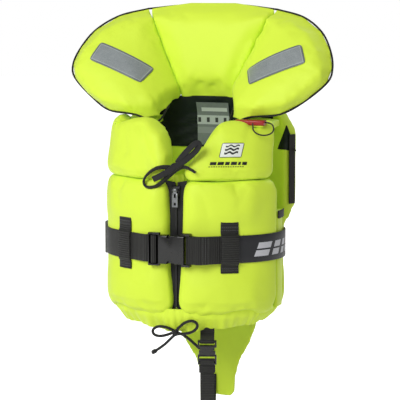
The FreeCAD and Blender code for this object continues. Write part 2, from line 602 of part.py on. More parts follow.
def webbing_run(points, width, thickness):
    """Webbing along a path in the strap's own plane: points are (back, up) from the buckle's centre."""
    path = [V(0, b, u) for b, u in points]
    left, right = [], []
    for i, p in enumerate(path):
        before = (p - path[i - 1]).normalize() if i else None
        after = (path[i + 1] - p).normalize() if i < len(path) - 1 else None
        d1 = before or after
        d2 = after or before
        along = (d1 + d2).normalize()
        normal = V(0, -along.z, along.y)
        half = thickness / 2 / math.cos(d1.getAngle(d2) / 2)
        left.append(p + normal * half)
        right.append(p - normal * half)
    shape = prism(left + right[::-1], V(width, 0, 0))
    shape.translate(V(-width / 2, 0, 0))
    return placed(shape, (crotch_x, crotch_y, crotch_joint_z), across, (-across[1], across[0], 0))


def bend(points, count=5):
    """The same path with each inner corner replaced by a run of points along a quadratic curve."""
    out = [points[0]]
    for a, b, c in zip(points, points[1:], points[2:]):
        p = ((a[0] + b[0]) / 2, (a[1] + b[1]) / 2) if a != points[0] else a
        q = ((b[0] + c[0]) / 2, (b[1] + c[1]) / 2) if c != points[-1] else c
        for k in range(1, count + 1):
            t = k / count
            out.append(tuple((1 - t) ** 2 * p[i] + 2 * t * (1 - t) * b[i] + t * t * q[i] for i in (0, 1)))
    return out


crotch_bar = plate_share * crotch_buckle_thickness
lap = crotch_bar + fit_gap + crotch_webbing / 2
strap_long = bend([(lap, -crotch_base - 6.0), (5.0, -30.0), (14.0, -66.0), (36.0, -98.0), (85.0, -108.0),
                   (135.0, -106.0), (165.5, -98.0), (168.6, -62.0)])
parts["crotch_strap"] = webbing_run([(lap, -2.0)] + strap_long, crotch_width, crotch_webbing)

# ---------------------------------------------------------------- collar
# Each collar pad is lofted through sections; a section runs from its inner seam point to its outer one.
collar_base_z = back_top_z + 2 * fit_gap
crease_section = (V(40, 57.2, collar_base_z), V(97, 74, 141))
middle_section = (V(14, 62, collar_base_z), V(34, 79, 150))
centre_sections = [tuple(V(-p.x, p.y, p.z) for p in crease_section),
                   tuple(V(-p.x, p.y, p.z) for p in middle_section), middle_section, crease_section]
wing_sections = [crease_section, (V(50, 26, 7.5), V(138, 64, 131)), (V(57, -4, -8), V(169, 48, 111)),
                 (V(86, -17, -7), V(186, 32, 86)), (V(128, -9, 1), V(193, 18, 62)), (V(158, 2, 17), V(187, 11, 42))]


def section_frames(sections):
    """Unit vectors (along, forward) of each section: from inner to outer seam, and out of the visible face."""
    frames = []
    middles = [(p + q) * 0.5 for p, q in sections]
    for i, (p, q) in enumerate(sections):
        along = (q - p).normalize()
        travel = middles[min(i + 1, len(middles) - 1)] - middles[max(i - 1, 0)]
        forward = travel.cross(along)
        frames.append((along, forward.normalize()))
    return frames


def crease_frame():
    """The frame that centre and wing share at the crease, halfway between their own."""
    a = section_frames(centre_sections)[-1]
    b = section_frames(wing_sections)[0]
    return a[0], (a[1] + b[1]).normalize()


def collar_wires(sections, frames, shrink, start_gap, end_gap):
    """Six-sided sections with the piped seam at both ends; gaps move the first and last ones inwards."""
    wires = []
    middles = [(p + q) * 0.5 for p, q in sections]
    for i, ((p, q), (along, forward)) in enumerate(zip(sections, frames)):
        shift = V(0, 0, 0)
        if i == 0:
            shift = (middles[1] - middles[0]).normalize() * (start_gap + shrink)
        if i == len(sections) - 1:
            shift = (middles[-2] - middles[-1]).normalize() * (end_gap + shrink)
        length = (q - p).Length
        edge = min(collar_edge, length * 0.3)
        half = collar_thickness / 2
        if i == len(sections) - 1 and length < 60:
            half *= 0.45
        half -= shrink
        a, b = p + along * shrink * 2 + shift, q - along * shrink * 2 + shift
        c, d = p + along * edge + shift, q - along * edge + shift
        points = [a, c + forward * half, d + forward * half, b, d - forward * half, c - forward * half]
        wires.append(Part.makePolygon(points + [points[0]]))
    return wires


shared = crease_frame()
centre_frames = section_frames(centre_sections)
centre_frames[-1] = shared
centre_frames[0] = tuple(V(-v.x, v.y, v.z) for v in shared)
wing_frames = section_frames(wing_sections)
wing_frames[0] = shared
half_gap = fit_gap / 2


def collar_pad(sections, frames, start_gap, end_gap, shrink=0.0):
    return Part.makeLoft(collar_wires(sections, frames, shrink, start_gap, end_gap), True, True)


parts["collar_centre_cover"] = collar_pad(centre_sections, centre_frames, half_gap, half_gap).cut(
    collar_pad(centre_sections, centre_frames, half_gap, half_gap, cover_wall))
parts["collar_centre_foam"] = collar_pad(centre_sections, centre_frames, half_gap, half_gap, cover_wall + fit_gap)
wing_cover = collar_pad(wing_sections, wing_frames, half_gap, 0.0).cut(
    collar_pad(wing_sections, wing_frames, half_gap, 0.0, cover_wall))
wing_foam = collar_pad(wing_sections, wing_frames, half_gap, 0.0, cover_wall + fit_gap)
parts["collar_wing_cover_left"], parts["collar_wing_foam_left"] = wing_cover, wing_foam
parts["collar_wing_cover_right"], parts["collar_wing_foam_right"] = mirrored(wing_cover), mirrored(wing_foam)

crease_low = crease_section[0] + shared[0] * collar_edge + shared[1] * collar_thickness / 2
crease_high = crease_section[1] - shared[0] * collar_edge + shared[1] * collar_thickness / 2
print("crease hinge from", crease_low, "towards", (crease_high - crease_low).normalize())


def seam_tube(points, forwards, centre, start_trim=0.0, end_trim=0.0):
    """Piping that follows straight runs along a seam, clear of the pads by its own radius and a gap."""
    reach = piping_diameter / 2 + fit_gap
    route = []
    for i, (p, forward) in enumerate(zip(points, forwards)):
        before = (p - points[i - 1]).normalize() if i else (points[1] - p).normalize()
        after = (points[i + 1] - p).normalize() if i < len(points) - 1 else before
        out = (before + after).cross(forward).normalize()
        if out.dot(p - centre) < 0:
            out = out * -1
        route.append(p + out * (reach / math.cos(before.getAngle(after) / 2)))
    route[0] = route[0] + (route[1] - route[0]).normalize() * start_trim
    route[-1] = route[-1] + (route[-2] - route[-1]).normalize() * end_trim
    path = Part.makePolygon(route)
    circle = Part.Wire(Part.makeCircle(piping_diameter / 2, route[0], route[1] - route[0]))
    return path.makePipeShell([circle], True, False, 1)


wing_seam = [q for p, q in wing_sections] + [p for p, q in wing_sections[:1:-1]]
wing_forwards = [f for a, f in wing_frames] + [f for a, f in wing_frames[:1:-1]]
parts["collar_piping_centre"] = seam_tube([q for p, q in centre_sections], [f for a, f in centre_frames],
                                          V(0, 70, 80), 0.6, 0.6)
parts["collar_piping_left"] = seam_tube(wing_seam, wing_forwards, V(120, 25, 50), 0.6, 0.0)
parts["collar_piping_right"] = mirrored(parts["collar_piping_left"])

# reflective patches, bonded to the visible faces of the wings
patch_long, patch_short = V(0.93, 0.16, 0.31), V(0.13, -0.48, -0.86)
patch_short = (patch_short - patch_long * patch_short.dot(patch_long) / patch_long.dot(patch_long)).normalize()
patch_long.normalize()
patch_centre = V(112, 22, 58)
patch_out = patch_short.cross(patch_long)
corner = patch_centre - patch_long * (patch_length / 2) - patch_short * (patch_width / 2)
patch_prism = prism([corner, corner + patch_long * patch_length,
                     corner + patch_long * patch_length + patch_short * patch_width,
                     corner + patch_short * patch_width], patch_out * 60)
patch_skin = collar_pad(wing_sections, wing_frames, half_gap, 0.0, -fit_gap - patch_thickness).cut(
    collar_pad(wing_sections, wing_frames, half_gap, 0.0, -fit_gap))
parts["reflective_patch_left"] = patch_skin.common(patch_prism)
parts["reflective_patch_right"] = mirrored(parts["reflective_patch_left"])

# ---------------------------------------------------------------- crotch tab, whistle
tab_bar = bar_share * crotch_buckle_thickness + fit_gap
tab_lap = tab_bar + crotch_webbing
bar_low, bar_high = crotch_buckle_length - 3.5 - fit_gap, crotch_buckle_length + fit_gap
crotch_origin = V(crotch_x, crotch_y, crotch_joint_z)
hem_back = V(*oval_point(math.degrees(math.asin(crotch_x / (wide_radius - hem_depth))), hem_depth + hem_thickness), 0)
tab_y = (hem_back - V(crotch_x, crotch_y, 0)).dot(V(-across[1], across[0], 0)) + fit_gap + 0.5
tab_top = hem_low_z - crotch_joint_z
tab_outline = [(-tab_lap, bar_high + crotch_webbing), (-tab_lap, bar_low - crotch_webbing),
               (tab_lap, bar_low - crotch_webbing), (tab_lap, bar_high), (tab_y + crotch_webbing, tab_top - 3),
               (tab_y + crotch_webbing, tab_top + 14), (tab_y, tab_top + 14), (tab_y, tab_top - 2),
               (tab_lap - 1.0, bar_high + crotch_webbing)]
tab = prism([V(-crotch_width / 2, y, z) for y, z in tab_outline], V(crotch_width, 0, 0))
tab = tab.cut(box(-crotch_width, crotch_width, -tab_bar, tab_bar, bar_low, bar_high))
parts["crotch_tab"] = placed(tab, crotch_origin, across, (-across[1], across[0], 0))

whistle_length, whistle_width, whistle_height = 42.0, 14.0, 7.2
whistle_corner = V(70.0, -37.0, yoke_z + 3 + fit_gap)
whistle = Part.makeBox(whistle_length, whistle_width, whistle_height, whistle_corner)
whistle = whistle.makeFillet(2.4, [e for e in whistle.Edges if abs(e.tangentAt(e.FirstParameter).x) > 0.9])
whistle = whistle.cut(Part.makeBox(whistle_length - 8, whistle_width - 5, whistle_height - 3.4,
                                   whistle_corner + V(-1, 2.5, 1.7)))
whistle = whistle.cut(Part.makeBox(5, 6, 4, whistle_corner + V(12, 4, whistle_height - 2)))
parts["whistle"] = whistle

# ---------------------------------------------------------------- cords
whistle_end = whistle_corner + V(whistle_length, whistle_width / 2, whistle_height / 2)
whistle_route = [tuple(whistle_end + V(fit_gap, 0, 0)), tuple(whistle_end + V(8.5, 0, 0)), (126.0, -33.0, -17.0),
                 (125.0, -37.5, -24.0), (116.5, -41.5, -27.5), (107.5, -47.0, -26.0), (101.5, -51.5, -20.5),
                 (100.0, -48.0, -14.5), (98.0, -42.5, -11.2)]
parts["whistle_cord"] = tube("whistle_cord", whistle_route, whistle_cord_diameter)

knot_x, knot_y, knot_z = 4.8, -98.8, -68.0
tie_a = [(9.0, -100.8, -63.0), (16.0, -101.3, -53.5), (26.0, -101.3, -43.0), (34.5, -100.8, -35.5),
         (40.5, -100.3, -34.5), (40.0, -100.3, -41.0), (31.0, -99.8, -50.5), (19.0, -101.3, -60.0),
         (6.0, -103.3, -69.0), (-6.5, -103.8, -76.5), (-17.0, -102.8, -82.5), (-26.0, -101.3, -86.5)]
tie_b = [(-0.5, -96.8, -70.5), (-12.0, -98.3, -69.0), (-24.0, -98.3, -71.5), (-35.0, -96.8, -78.5),
         (-42.5, -96.3, -88.0), (-41.5, -96.3, -96.5), (-33.0, -96.3, -99.5), (-21.0, -96.8, -96.0),
         (-9.5, -96.3, -85.5), (2.5, -94.6, -74.5), (12.5, -95.8, -68.5), (23.5, -98.3, -69.0),
         (34.0, -97.8, -75.5)]
parts["neck_tie_left"] = tube("neck_tie_left", tie_a, tie_diameter)
parts["neck_tie_right"] = tube("neck_tie_right", tie_b, tie_diameter)
parts["neck_tie_knot"] = Part.makeSphere(6.5, V(knot_x, knot_y, knot_z))

hem_a = [(4.5, -90.5, -296.0), (11.0, -91.0, -289.0), (19.0, -91.0, -283.8), (27.5, -90.5, -282.0),
         (34.0, -89.5, -286.0), (33.0, -89.0, -293.5), (24.5, -89.5, -299.5), (13.0, -90.5, -301.6),
         (2.0, -91.5, -302.5), (-6.5, -91.5, -311.0), (-15.0, -91.0, -319.5), (-26.0, -90.5, -327.0)]
hem_b = [(-2.0, -86.0, -298.5), (-9.0, -88.0, -295.0), (-17.5, -89.0, -293.0), (-26.5, -89.0, -294.0),
         (-33.0, -88.0, -299.0), (-32.0, -87.5, -305.5), (-23.5, -87.5, -308.0), (-12.0, -86.5, -305.5),
         (-1.0, -86.0, -300.5), (9.0, -86.0, -302.5), (17.5, -82.5, -308.5), (24.0, -76.5, -316.5),
         (30.5, -70.0, -325.0)]
parts["hem_cord_left"] = tube("hem_cord_left", hem_a, hem_cord_diameter)
parts["hem_cord_right"] = tube("hem_cord_right", hem_b, hem_cord_diameter)
parts["hem_cord_knot"] = Part.makeSphere(4.8, V(1.1, -88.3, -300.4))
parts["hem_cord_ball"] = Part.makeSphere(4.6, V(-29.4, -90.3, -329.4))

# ---------------------------------------------------------------- write
parts_folder = "parts"
os.makedirs(parts_folder, exist_ok=True)
for name, shape in parts.items():
    shape.exportStep(f"{parts_folder}/{name}.step")
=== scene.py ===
"""A child's foam life jacket with a head-support collar: its sewn pads, webbing, buckles, zip and cords.

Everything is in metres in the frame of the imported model: +Z up, +X the wearer's left, the front faces -Y.
Angles round the torso are those of the outward normal, in degrees, from the front towards +X.
"""
from __future__ import annotations

import json
import logging
import math
from dataclasses import dataclass, field
from enum import Enum
from typing import Any, Callable, Iterable, Sequence

import bmesh
import bpy
import numpy as np
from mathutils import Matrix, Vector, noise
from mathutils.bvhtree import BVHTree

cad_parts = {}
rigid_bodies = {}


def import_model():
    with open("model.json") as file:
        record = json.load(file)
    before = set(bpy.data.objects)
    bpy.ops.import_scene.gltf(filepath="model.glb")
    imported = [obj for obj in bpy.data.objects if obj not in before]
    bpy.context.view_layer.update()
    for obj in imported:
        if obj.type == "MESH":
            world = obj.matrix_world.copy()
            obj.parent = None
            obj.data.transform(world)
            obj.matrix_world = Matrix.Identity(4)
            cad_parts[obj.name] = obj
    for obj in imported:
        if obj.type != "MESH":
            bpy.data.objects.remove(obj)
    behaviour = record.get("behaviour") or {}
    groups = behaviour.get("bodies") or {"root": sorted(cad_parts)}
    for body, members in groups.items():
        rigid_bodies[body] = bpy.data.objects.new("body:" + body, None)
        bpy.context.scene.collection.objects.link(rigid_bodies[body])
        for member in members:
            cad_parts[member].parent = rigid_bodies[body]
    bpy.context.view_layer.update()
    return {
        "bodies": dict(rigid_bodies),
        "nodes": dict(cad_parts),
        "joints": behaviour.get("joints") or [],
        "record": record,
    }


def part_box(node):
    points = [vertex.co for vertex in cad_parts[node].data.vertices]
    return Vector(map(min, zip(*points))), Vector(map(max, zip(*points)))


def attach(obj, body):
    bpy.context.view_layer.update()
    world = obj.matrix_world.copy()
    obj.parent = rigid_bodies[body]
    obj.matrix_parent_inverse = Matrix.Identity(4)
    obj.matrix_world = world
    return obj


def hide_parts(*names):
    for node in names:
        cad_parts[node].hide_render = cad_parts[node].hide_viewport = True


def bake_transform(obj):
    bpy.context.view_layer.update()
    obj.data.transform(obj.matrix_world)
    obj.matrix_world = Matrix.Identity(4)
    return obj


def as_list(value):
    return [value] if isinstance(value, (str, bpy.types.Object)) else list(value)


log = logging.getLogger("life_jacket")

Object = bpy.types.Object
Material = bpy.types.Material
Socket = bpy.types.NodeSocket


class Slot(Enum):
    """Material slots of the record that the finishes belong to."""

    FABRIC = "yellow_fabric"
    LINING = "dark_lining"
    LABEL = "label_fabric"
    REFLECTIVE = "reflective_tape"
    METAL = "slider_metal"
    MOULDED = "zip_moulded"
    BINDING = "black_binding"
    BUCKLE = "buckle_plastic"
    CORD = "black_cord"
    WHISTLE = "whistle_plastic"
    PRINTED = "printed_webbing"
    WEBBING = "black_webbing"


class Rib(Enum):
    """Which way the ribs of a webbing run."""

    ACROSS = "across"
    FINE = "fine"


# ---------------------------------------------------------------- the torso's plan
@dataclass(frozen=True)
class Torso:
    """Plan of the jacket: an oval of four arcs, blended into a flat plan at the upper back."""

    half_width: float = 0.128
    half_depth: float = 0.097
    side_radius: float = 0.078
    flat_radius: float = 0.300
    back_half_width: float = 0.132
    back_seam_angle: float = 104.0
    back_pad: float = 0.026

    @property
    def wide_centre(self) -> float:
        """Distance of the wide arcs' centres from the torso's axis."""
        side, rest = self.half_width - self.side_radius, self.half_depth - self.side_radius
        return (side ** 2 - rest ** 2) / (2 * rest)

    def point(self, angle: float, depth: float, z: float) -> Vector:
        """Point of the oval, depth inside it.

        Args:
            angle: direction of the outward normal, in degrees.
            depth: distance inside the oval; negative is outside.
            z: height of the point.

        Returns:
            The point in the jacket's frame.
        """
        angle = (angle + 180.0) % 360.0 - 180.0
        side = self.half_width - self.side_radius
        limit = math.degrees(math.atan2(side, self.wide_centre))
        if abs(angle) <= limit:
            cx, cy, radius = 0.0, self.wide_centre, self.half_depth + self.wide_centre
        elif abs(angle) >= 180.0 - limit:
            cx, cy, radius = 0.0, -self.wide_centre, self.half_depth + self.wide_centre
        else:
            cx, cy, radius = math.copysign(side, angle), 0.0, self.side_radius
        turn = math.radians(angle)
        return Vector((cx + (radius - depth) * math.sin(turn), cy - (radius - depth) * math.cos(turn), z))

    def back_point(self, angle: float, depth: float, z: float) -> Vector:
        """Point of the flat plan of the upper back, with the lean that its top has.

        Args:
            angle: direction along the back, from the seam angle to 180 and beyond.
            depth: distance inside the back's outer face.
            z: height of the point.

        Returns:
            The point in the jacket's frame.
        """
        turn = math.radians((180.0 - angle) / (180.0 - self.back_seam_angle)
                            * math.degrees(math.asin(self.back_half_width / self.flat_radius)))
        x = (self.flat_radius - depth) * math.sin(turn)
        y = self.half_depth - self.flat_radius + (self.flat_radius - depth) * math.cos(turn)
        return Vector((x, y + self.lean(z), z))

    @staticmethod
    def lean(z: float) -> float:
        """How far the back pad's top leans forward at height z."""
        return float(np.interp(z, [-0.030, -0.006, 0.0146], [0.0, -0.003, -0.0127]))

    def back_face(self, z: float) -> float:
        """Depth of the back pad's inner face at height z."""
        return self.back_pad - float(np.interp(z, [-0.030, -0.006, 0.0146], [0.0, 0.0012, 0.0036]))

    def normal(self, angle: float) -> Vector:
        """Outward normal of the oval at an angle."""
        turn = math.radians(angle)
        return Vector((math.sin(turn), -math.cos(turn), 0.0))


TORSO = Torso()


# ---------------------------------------------------------------- shader writing
class Shader:
    """Writes the nodes of one material."""

    def __init__(self, name: str, **sockets: Any) -> None:
        """Starts a material.

        Args:
            name: the material's name.
            sockets: plain values of the principled shader, with underscores for spaces.
        """
        self.material: Material = bpy.data.materials.new(name)
        self.material.use_nodes = True
        self.tree = self.material.node_tree
        self.body = self.tree.nodes["Principled BSDF"]
        for key, value in sockets.items():
            self.body.inputs[key.replace("_", " ")].default_value = value

    def node(self, kind: str, inputs: dict[Any, Any] | None = None, **settings: Any) -> bpy.types.Node:
        """Adds a node.

        Args:
            kind: the node's type without its ShaderNode prefix.
            inputs: values or sockets for the inputs, by name or number.
            settings: properties of the node.

        Returns:
            The new node.
        """
        node = self.tree.nodes.new("ShaderNode" + kind)
        for key, value in settings.items():
            setattr(node, key, value)
        for key, value in (inputs or {}).items():
            if isinstance(value, bpy.types.NodeSocket):
                self.tree.links.new(value, node.inputs[key])
            else:
                node.inputs[key].default_value = value
        return node

    def math(self, operation: str, *values: Any) -> Socket:
        """Result of a math node on one to three values or sockets."""
        return self.node("Math", dict(enumerate(values)), operation=operation).outputs[0]

    def coords(self, space: str = "Object") -> Socket:
        """Texture coordinates of the piece: Object or UV."""
        return self.node("TexCoord").outputs[space]

    def axis(self, vector: Socket, name: str) -> Socket:
        """One component of a vector."""
        return self.node("SeparateXYZ", {0: vector}).outputs[name]

    def noise(self, vector: Socket, scale: float, detail: float = 2.0, distortion: float = 0.0) -> Socket:
        """Noise value from 0 to 1."""
        return self.node("TexNoise", {"Vector": vector, "Scale": scale, "Detail": detail,
                                      "Distortion": distortion}).outputs[0]

    def stripes(self, value: Socket, pitch: float) -> Socket:
        """Rounded stripes from 0 to 1 across a length, pitch apart."""
        wave = self.math("SINE", self.math("MULTIPLY", value, 2 * math.pi / pitch))
        return self.math("MULTIPLY_ADD", wave, 0.5, 0.5)

    def between(self, value: Socket, low: float, high: float) -> Socket:
        """1 where value lies between low and high, else 0."""
        return self.math("MULTIPLY", self.math("GREATER_THAN", value, low), self.math("LESS_THAN", value, high))

    def mix(self, share: Any, first: Any, second: Any) -> Socket:
        """Colour mixed from first to second by share."""
        node = self.node("Mix", data_type="RGBA")
        for socket, value in zip((node.inputs[0], node.inputs[6], node.inputs[7]), (share, first, second)):
            if isinstance(value, bpy.types.NodeSocket):
                self.tree.links.new(value, socket)
            else:
                socket.default_value = value if isinstance(value, float) else (*value, 1.0)
        return node.outputs[2]

    def colour(self, socket: Socket) -> None:
        """Sends a colour to the shader."""
        self.tree.links.new(socket, self.body.inputs["Base Color"])

    def rough(self, socket: Socket) -> None:
        """Sends a roughness to the shader."""
        self.tree.links.new(socket, self.body.inputs["Roughness"])

    def bump(self, height: Socket, distance: float, strength: float = 1.0) -> None:
        """Adds relief in front of whatever relief the shader has.

        Args:
            height: relief from 0 to 1.
            distance: depth in metres that 1 stands for.
            strength: share of it that shows.
        """
        node = self.node("Bump", {"Height": height, "Distance": distance, "Strength": strength})
        normal = self.body.inputs["Normal"]
        if normal.is_linked:
            self.tree.links.new(normal.links[0].from_socket, node.inputs["Normal"])
        self.tree.links.new(node.outputs[0], normal)


# ---------------------------------------------------------------- finishes
@dataclass(frozen=True)
class CoatedFabric:
    """Coated polyester: fine plain weave, faint slubs and soft handling creases."""

    name: str = "coated_fabric"
    colour: tuple[float, float, float] = (0.75, 0.95, 0.070)
    shade: tuple[float, float, float] = (0.68, 0.89, 0.045)
    roughness: float = 0.55
    weave: float = 0.0007

    def material(self) -> Material:
        """Builds the material."""
        shader = Shader(self.name, Roughness=self.roughness, Specular_IOR_Level=0.35, Sheen_Weight=0.12,
                        Sheen_Roughness=0.4)
        place = shader.coords()
        slub = shader.noise(place, 260.0, 3.0)
        cloud = shader.noise(place, 9.0, 2.0)
        share = shader.math("MULTIPLY_ADD", cloud, 0.7, shader.math("MULTIPLY", slub, 0.3))
        shader.colour(shader.mix(share, self.shade, self.colour))
        shader.rough(shader.math("MULTIPLY_ADD", slub, 0.16, self.roughness - 0.08))
        plan = shader.math("ADD", shader.axis(place, "X"), shader.math("MULTIPLY", shader.axis(place, "Y"), 0.7))
        warp = shader.stripes(plan, self.weave)
        weft = shader.stripes(shader.axis(place, "Z"), self.weave)
        shader.bump(shader.math("MULTIPLY", warp, weft), 0.00008, 0.6)
        shader.bump(shader.noise(place, 42.0, 3.0, 0.6), 0.0008, 0.35)
        shader.bump(shader.noise(place, 14.0, 2.0, 0.9), 0.0035, 0.30)
        return shader.material


@dataclass(frozen=True)
class Webbing:
    """Woven webbing with ribs; the piece's UV map runs in metres, along and across it."""

    name: str = "webbing"
    rib: Rib = Rib.ACROSS
    pitch: float = 0.0028
    colour: tuple[float, float, float] = (0.021, 0.021, 0.018)
    # colour of the low grooves between the ribs: painted shade
    groove_shade: tuple[float, float, float] = (0.004, 0.004, 0.0035)
    roughness: float = 0.62

    def base(self) -> tuple[Shader, Socket, Socket]:
        """Writes the woven ground.

        Returns:
            The shader, and the lengths along and across the webbing.
        """
        shader = Shader(self.name, Specular_IOR_Level=0.3, Sheen_Weight=0.10, Sheen_Roughness=0.35)
        place = shader.coords("UV")
        along, across = shader.axis(place, "X"), shader.axis(place, "Y")
        wobble = shader.math("MULTIPLY", shader.noise(place, 90.0, 2.0), 0.0006)
        ribs = shader.stripes(shader.math("ADD", along, wobble), self.pitch)
        yarn = shader.stripes(across, 0.0011)
        if self.rib is Rib.FINE:
            height = shader.math("MULTIPLY_ADD", ribs, 0.35, shader.math("MULTIPLY", yarn, 0.3))
        else:
            height = shader.math("MULTIPLY_ADD", ribs, 0.85, shader.math("MULTIPLY", yarn, 0.15))
        fuzz = shader.noise(place, 900.0, 2.0)
        # the grooves between the ribs, where the relief is low, take the darker groove colour: painted shade
        shader.colour(shader.mix(height, self.groove_shade, self.colour))
        shader.rough(shader.math("MULTIPLY_ADD", fuzz, 0.2, self.roughness - 0.1))
        shader.bump(height, 0.0007 if self.rib is Rib.ACROSS else 0.0002, 0.9)
        shader.bump(fuzz, 0.0002, 0.5)
        return shader, along, across

    def material(self) -> Material:
        """Builds the plain webbing."""
        return self.base()[0].material


@dataclass(frozen=True)
class StitchedWebbing(Webbing):
    """Webbing with rows of stitches across it, at the given lengths along it."""

    rows: tuple[float, ...] = ()

    def material(self) -> Material:
        """Builds the webbing and its stitch rows."""
        shader, along, across = self.base()
        height: Socket | None = None
        for row in self.rows:
            line = shader.between(along, row - 0.0006, row + 0.0006)
            stitch = shader.math("MULTIPLY", line, shader.math("GREATER_THAN", shader.stripes(across, 0.0026), 0.3))
            height = stitch if height is None else shader.math("MAXIMUM", height, stitch)
        if height is not None:
            base = shader.body.inputs["Base Color"].links[0].from_socket
            shader.colour(shader.mix(shader.math("MULTIPLY", height, 0.8), base, (0.075, 0.075, 0.075)))
            shader.bump(height, 0.0005, 0.8)
        return shader.material


@dataclass(frozen=True)
class PrintedWebbing(Webbing):
    """Smooth webbing with a pale repeat of slanted bars, narrowing like a wake."""

    repeat: float = 0.140
    start: float = 0.033
    half_height: float = 0.0095
    bars: tuple[tuple[float, float], ...] = ((0.0, 0.024), (0.031, 0.046), (0.053, 0.062), (0.069, 0.074))
    ink: tuple[float, float, float] = (0.62, 0.62, 0.66)

    def material(self) -> Material:
        """Builds the webbing and its print."""
        shader, along, across = self.base()
        slanted = shader.math("MULTIPLY_ADD", across, -0.42, shader.math("ADD", along, -self.start))
        travel = shader.math("MODULO", shader.math("ADD", slanted, 20 * self.repeat), self.repeat)
        height = shader.math("ABSOLUTE", shader.math("ADD", across, 0.0015))
        band = shader.math("LESS_THAN", height, self.half_height)
        waist = shader.math("GREATER_THAN", height, 0.0012)
        mask: Socket | None = None
        for low, high in self.bars:
            bar = shader.between(travel, low, high)
            mask = bar if mask is None else shader.math("MAXIMUM", mask, bar)
        mask = shader.math("MULTIPLY", mask, shader.math("MULTIPLY", band, waist))
        mask = shader.math("MULTIPLY", mask, shader.math("MULTIPLY_ADD", shader.stripes(across, 0.0019), 0.15, 0.85))
        base = shader.body.inputs["Base Color"].links[0].from_socket
        shader.colour(shader.mix(mask, base, self.ink))
        return shader.material


@dataclass(frozen=True)
class Braid:
    """Braided cord, patterned along its object axes."""

    name: str = "braid"
    colour: tuple[float, float, float] = (0.014, 0.014, 0.014)
    pitch: float = 0.0016

    def material(self) -> Material:
        """Builds the material."""
        shader = Shader(self.name, Roughness=0.6, Specular_IOR_Level=0.3, Sheen_Weight=0.08, Sheen_Roughness=0.4)
        place = shader.coords()
        x, y, z = (shader.axis(place, a) for a in "XYZ")
        one = shader.stripes(shader.math("ADD", shader.math("ADD", x, z), y), self.pitch)
        two = shader.stripes(shader.math("SUBTRACT", shader.math("SUBTRACT", x, z), y), self.pitch)
        height = shader.math("MAXIMUM", one, two)
        # the hollows between the strands, where the relief is low, take a darker colour: painted shade
        shader.colour(shader.mix(height, (0.006, 0.006, 0.006), self.colour))
        shader.bump(height, 0.0004, 0.8)
        return shader.material


@dataclass(frozen=True)
class Moulded:
    """Moulded plastic or enamelled metal with a fine grain and light handling wear."""

    name: str
    colour: tuple[float, float, float]
    roughness: float = 0.3
    metallic: float = 0.0
    coat: float = 0.0
    grain: float = 0.00006
    wear: tuple[float, float, float] | None = None

    def material(self) -> Material:
        """Builds the material."""
        shader = Shader(self.name, Metallic=self.metallic, Specular_IOR_Level=0.3, Coat_Weight=self.coat,
                        Coat_Roughness=0.2)
        place = shader.coords()
        fine, cloud = shader.noise(place, 1400.0, 2.0), shader.noise(place, 160.0, 4.0)
        worn = self.wear or tuple(1.5 * c + 0.004 for c in self.colour)
        shader.colour(shader.mix(shader.math("MULTIPLY", cloud, 0.6), self.colour, worn))
        shader.rough(shader.math("MULTIPLY_ADD", cloud, 0.16, self.roughness - 0.08))
        shader.bump(fine, self.grain, 0.6)
        return shader.material


@dataclass(frozen=True)
class ReflectiveTape:
    """Grey glass-bead film with a mesh of cells, a darker welded rim and a pale stitch line."""

    name: str = "reflective_tape"
    length: float = 0.088
    width: float = 0.034

    def material(self) -> Material:
        """Builds the material; the piece's UV map is in metres from the patch's middle."""
        shader = Shader(self.name, Roughness=0.34, Metallic=0.25, Specular_IOR_Level=0.6)
        place = shader.coords("UV")
        u = shader.math("ABSOLUTE", shader.axis(place, "X"))
        v = shader.math("ABSOLUTE", shader.axis(place, "Y"))
        inset = shader.math("MINIMUM", shader.math("SUBTRACT", self.length / 2, u),
                            shader.math("SUBTRACT", self.width / 2, v))
        rim = shader.math("LESS_THAN", inset, 0.0028)
        line = shader.between(inset, 0.0034, 0.0043)
        cells = shader.node("TexVoronoi", {"Vector": place, "Scale": 620.0}, feature="DISTANCE_TO_EDGE").outputs[0]
        wall = shader.math("LESS_THAN", cells, 0.09)
        ribs = shader.math("MAXIMUM", shader.stripes(shader.axis(place, "X"), 0.0042),
                           shader.stripes(shader.axis(place, "Y"), 0.0042))
        mottled = shader.noise(place, 110.0, 3.0)
        film = shader.mix(mottled, (0.20, 0.235, 0.24), (0.33, 0.36, 0.36))
        film = shader.mix(shader.math("MULTIPLY", ribs, 0.16), film, (0.13, 0.15, 0.16))
        film = shader.mix(shader.math("MULTIPLY", wall, 0.45), film, (0.42, 0.45, 0.46))
        film = shader.mix(shader.math("MULTIPLY", rim, 0.75), film, (0.12, 0.135, 0.14))
        film = shader.mix(shader.math("MULTIPLY", line, 0.6), film, (0.55, 0.60, 0.60))
        shader.colour(film)
        shader.bump(shader.math("SUBTRACT", 1.0, rim), 0.0005, 0.8)
        shader.bump(wall, 0.0001, 0.5)
        return shader.material


@dataclass(frozen=True)
class Lining:
    """Dark coated lining, faintly creased."""

    name: str = "dark_lining"
    colour: tuple[float, float, float] = (0.004, 0.008, 0.005)

    def material(self) -> Material:
        """Builds the material."""
        shader = Shader(self.name, Roughness=0.5, Specular_IOR_Level=0.15)
        place = shader.coords()
        fold = shader.noise(place, 55.0, 3.0, 1.2)
        # the fold noise also lightens the colour on the ridges of the creases and darkens it in their hollows: painted
        # shade
        shader.colour(shader.mix(fold, self.colour, (0.008, 0.014, 0.010)))
        shader.bump(fold, 0.0022, 0.7)
        weave = shader.math("MULTIPLY", shader.stripes(shader.axis(place, "X"), 0.0007),
                            shader.stripes(shader.axis(place, "Z"), 0.0007))
        shader.bump(weave, 0.00008, 0.6)
        return shader.material


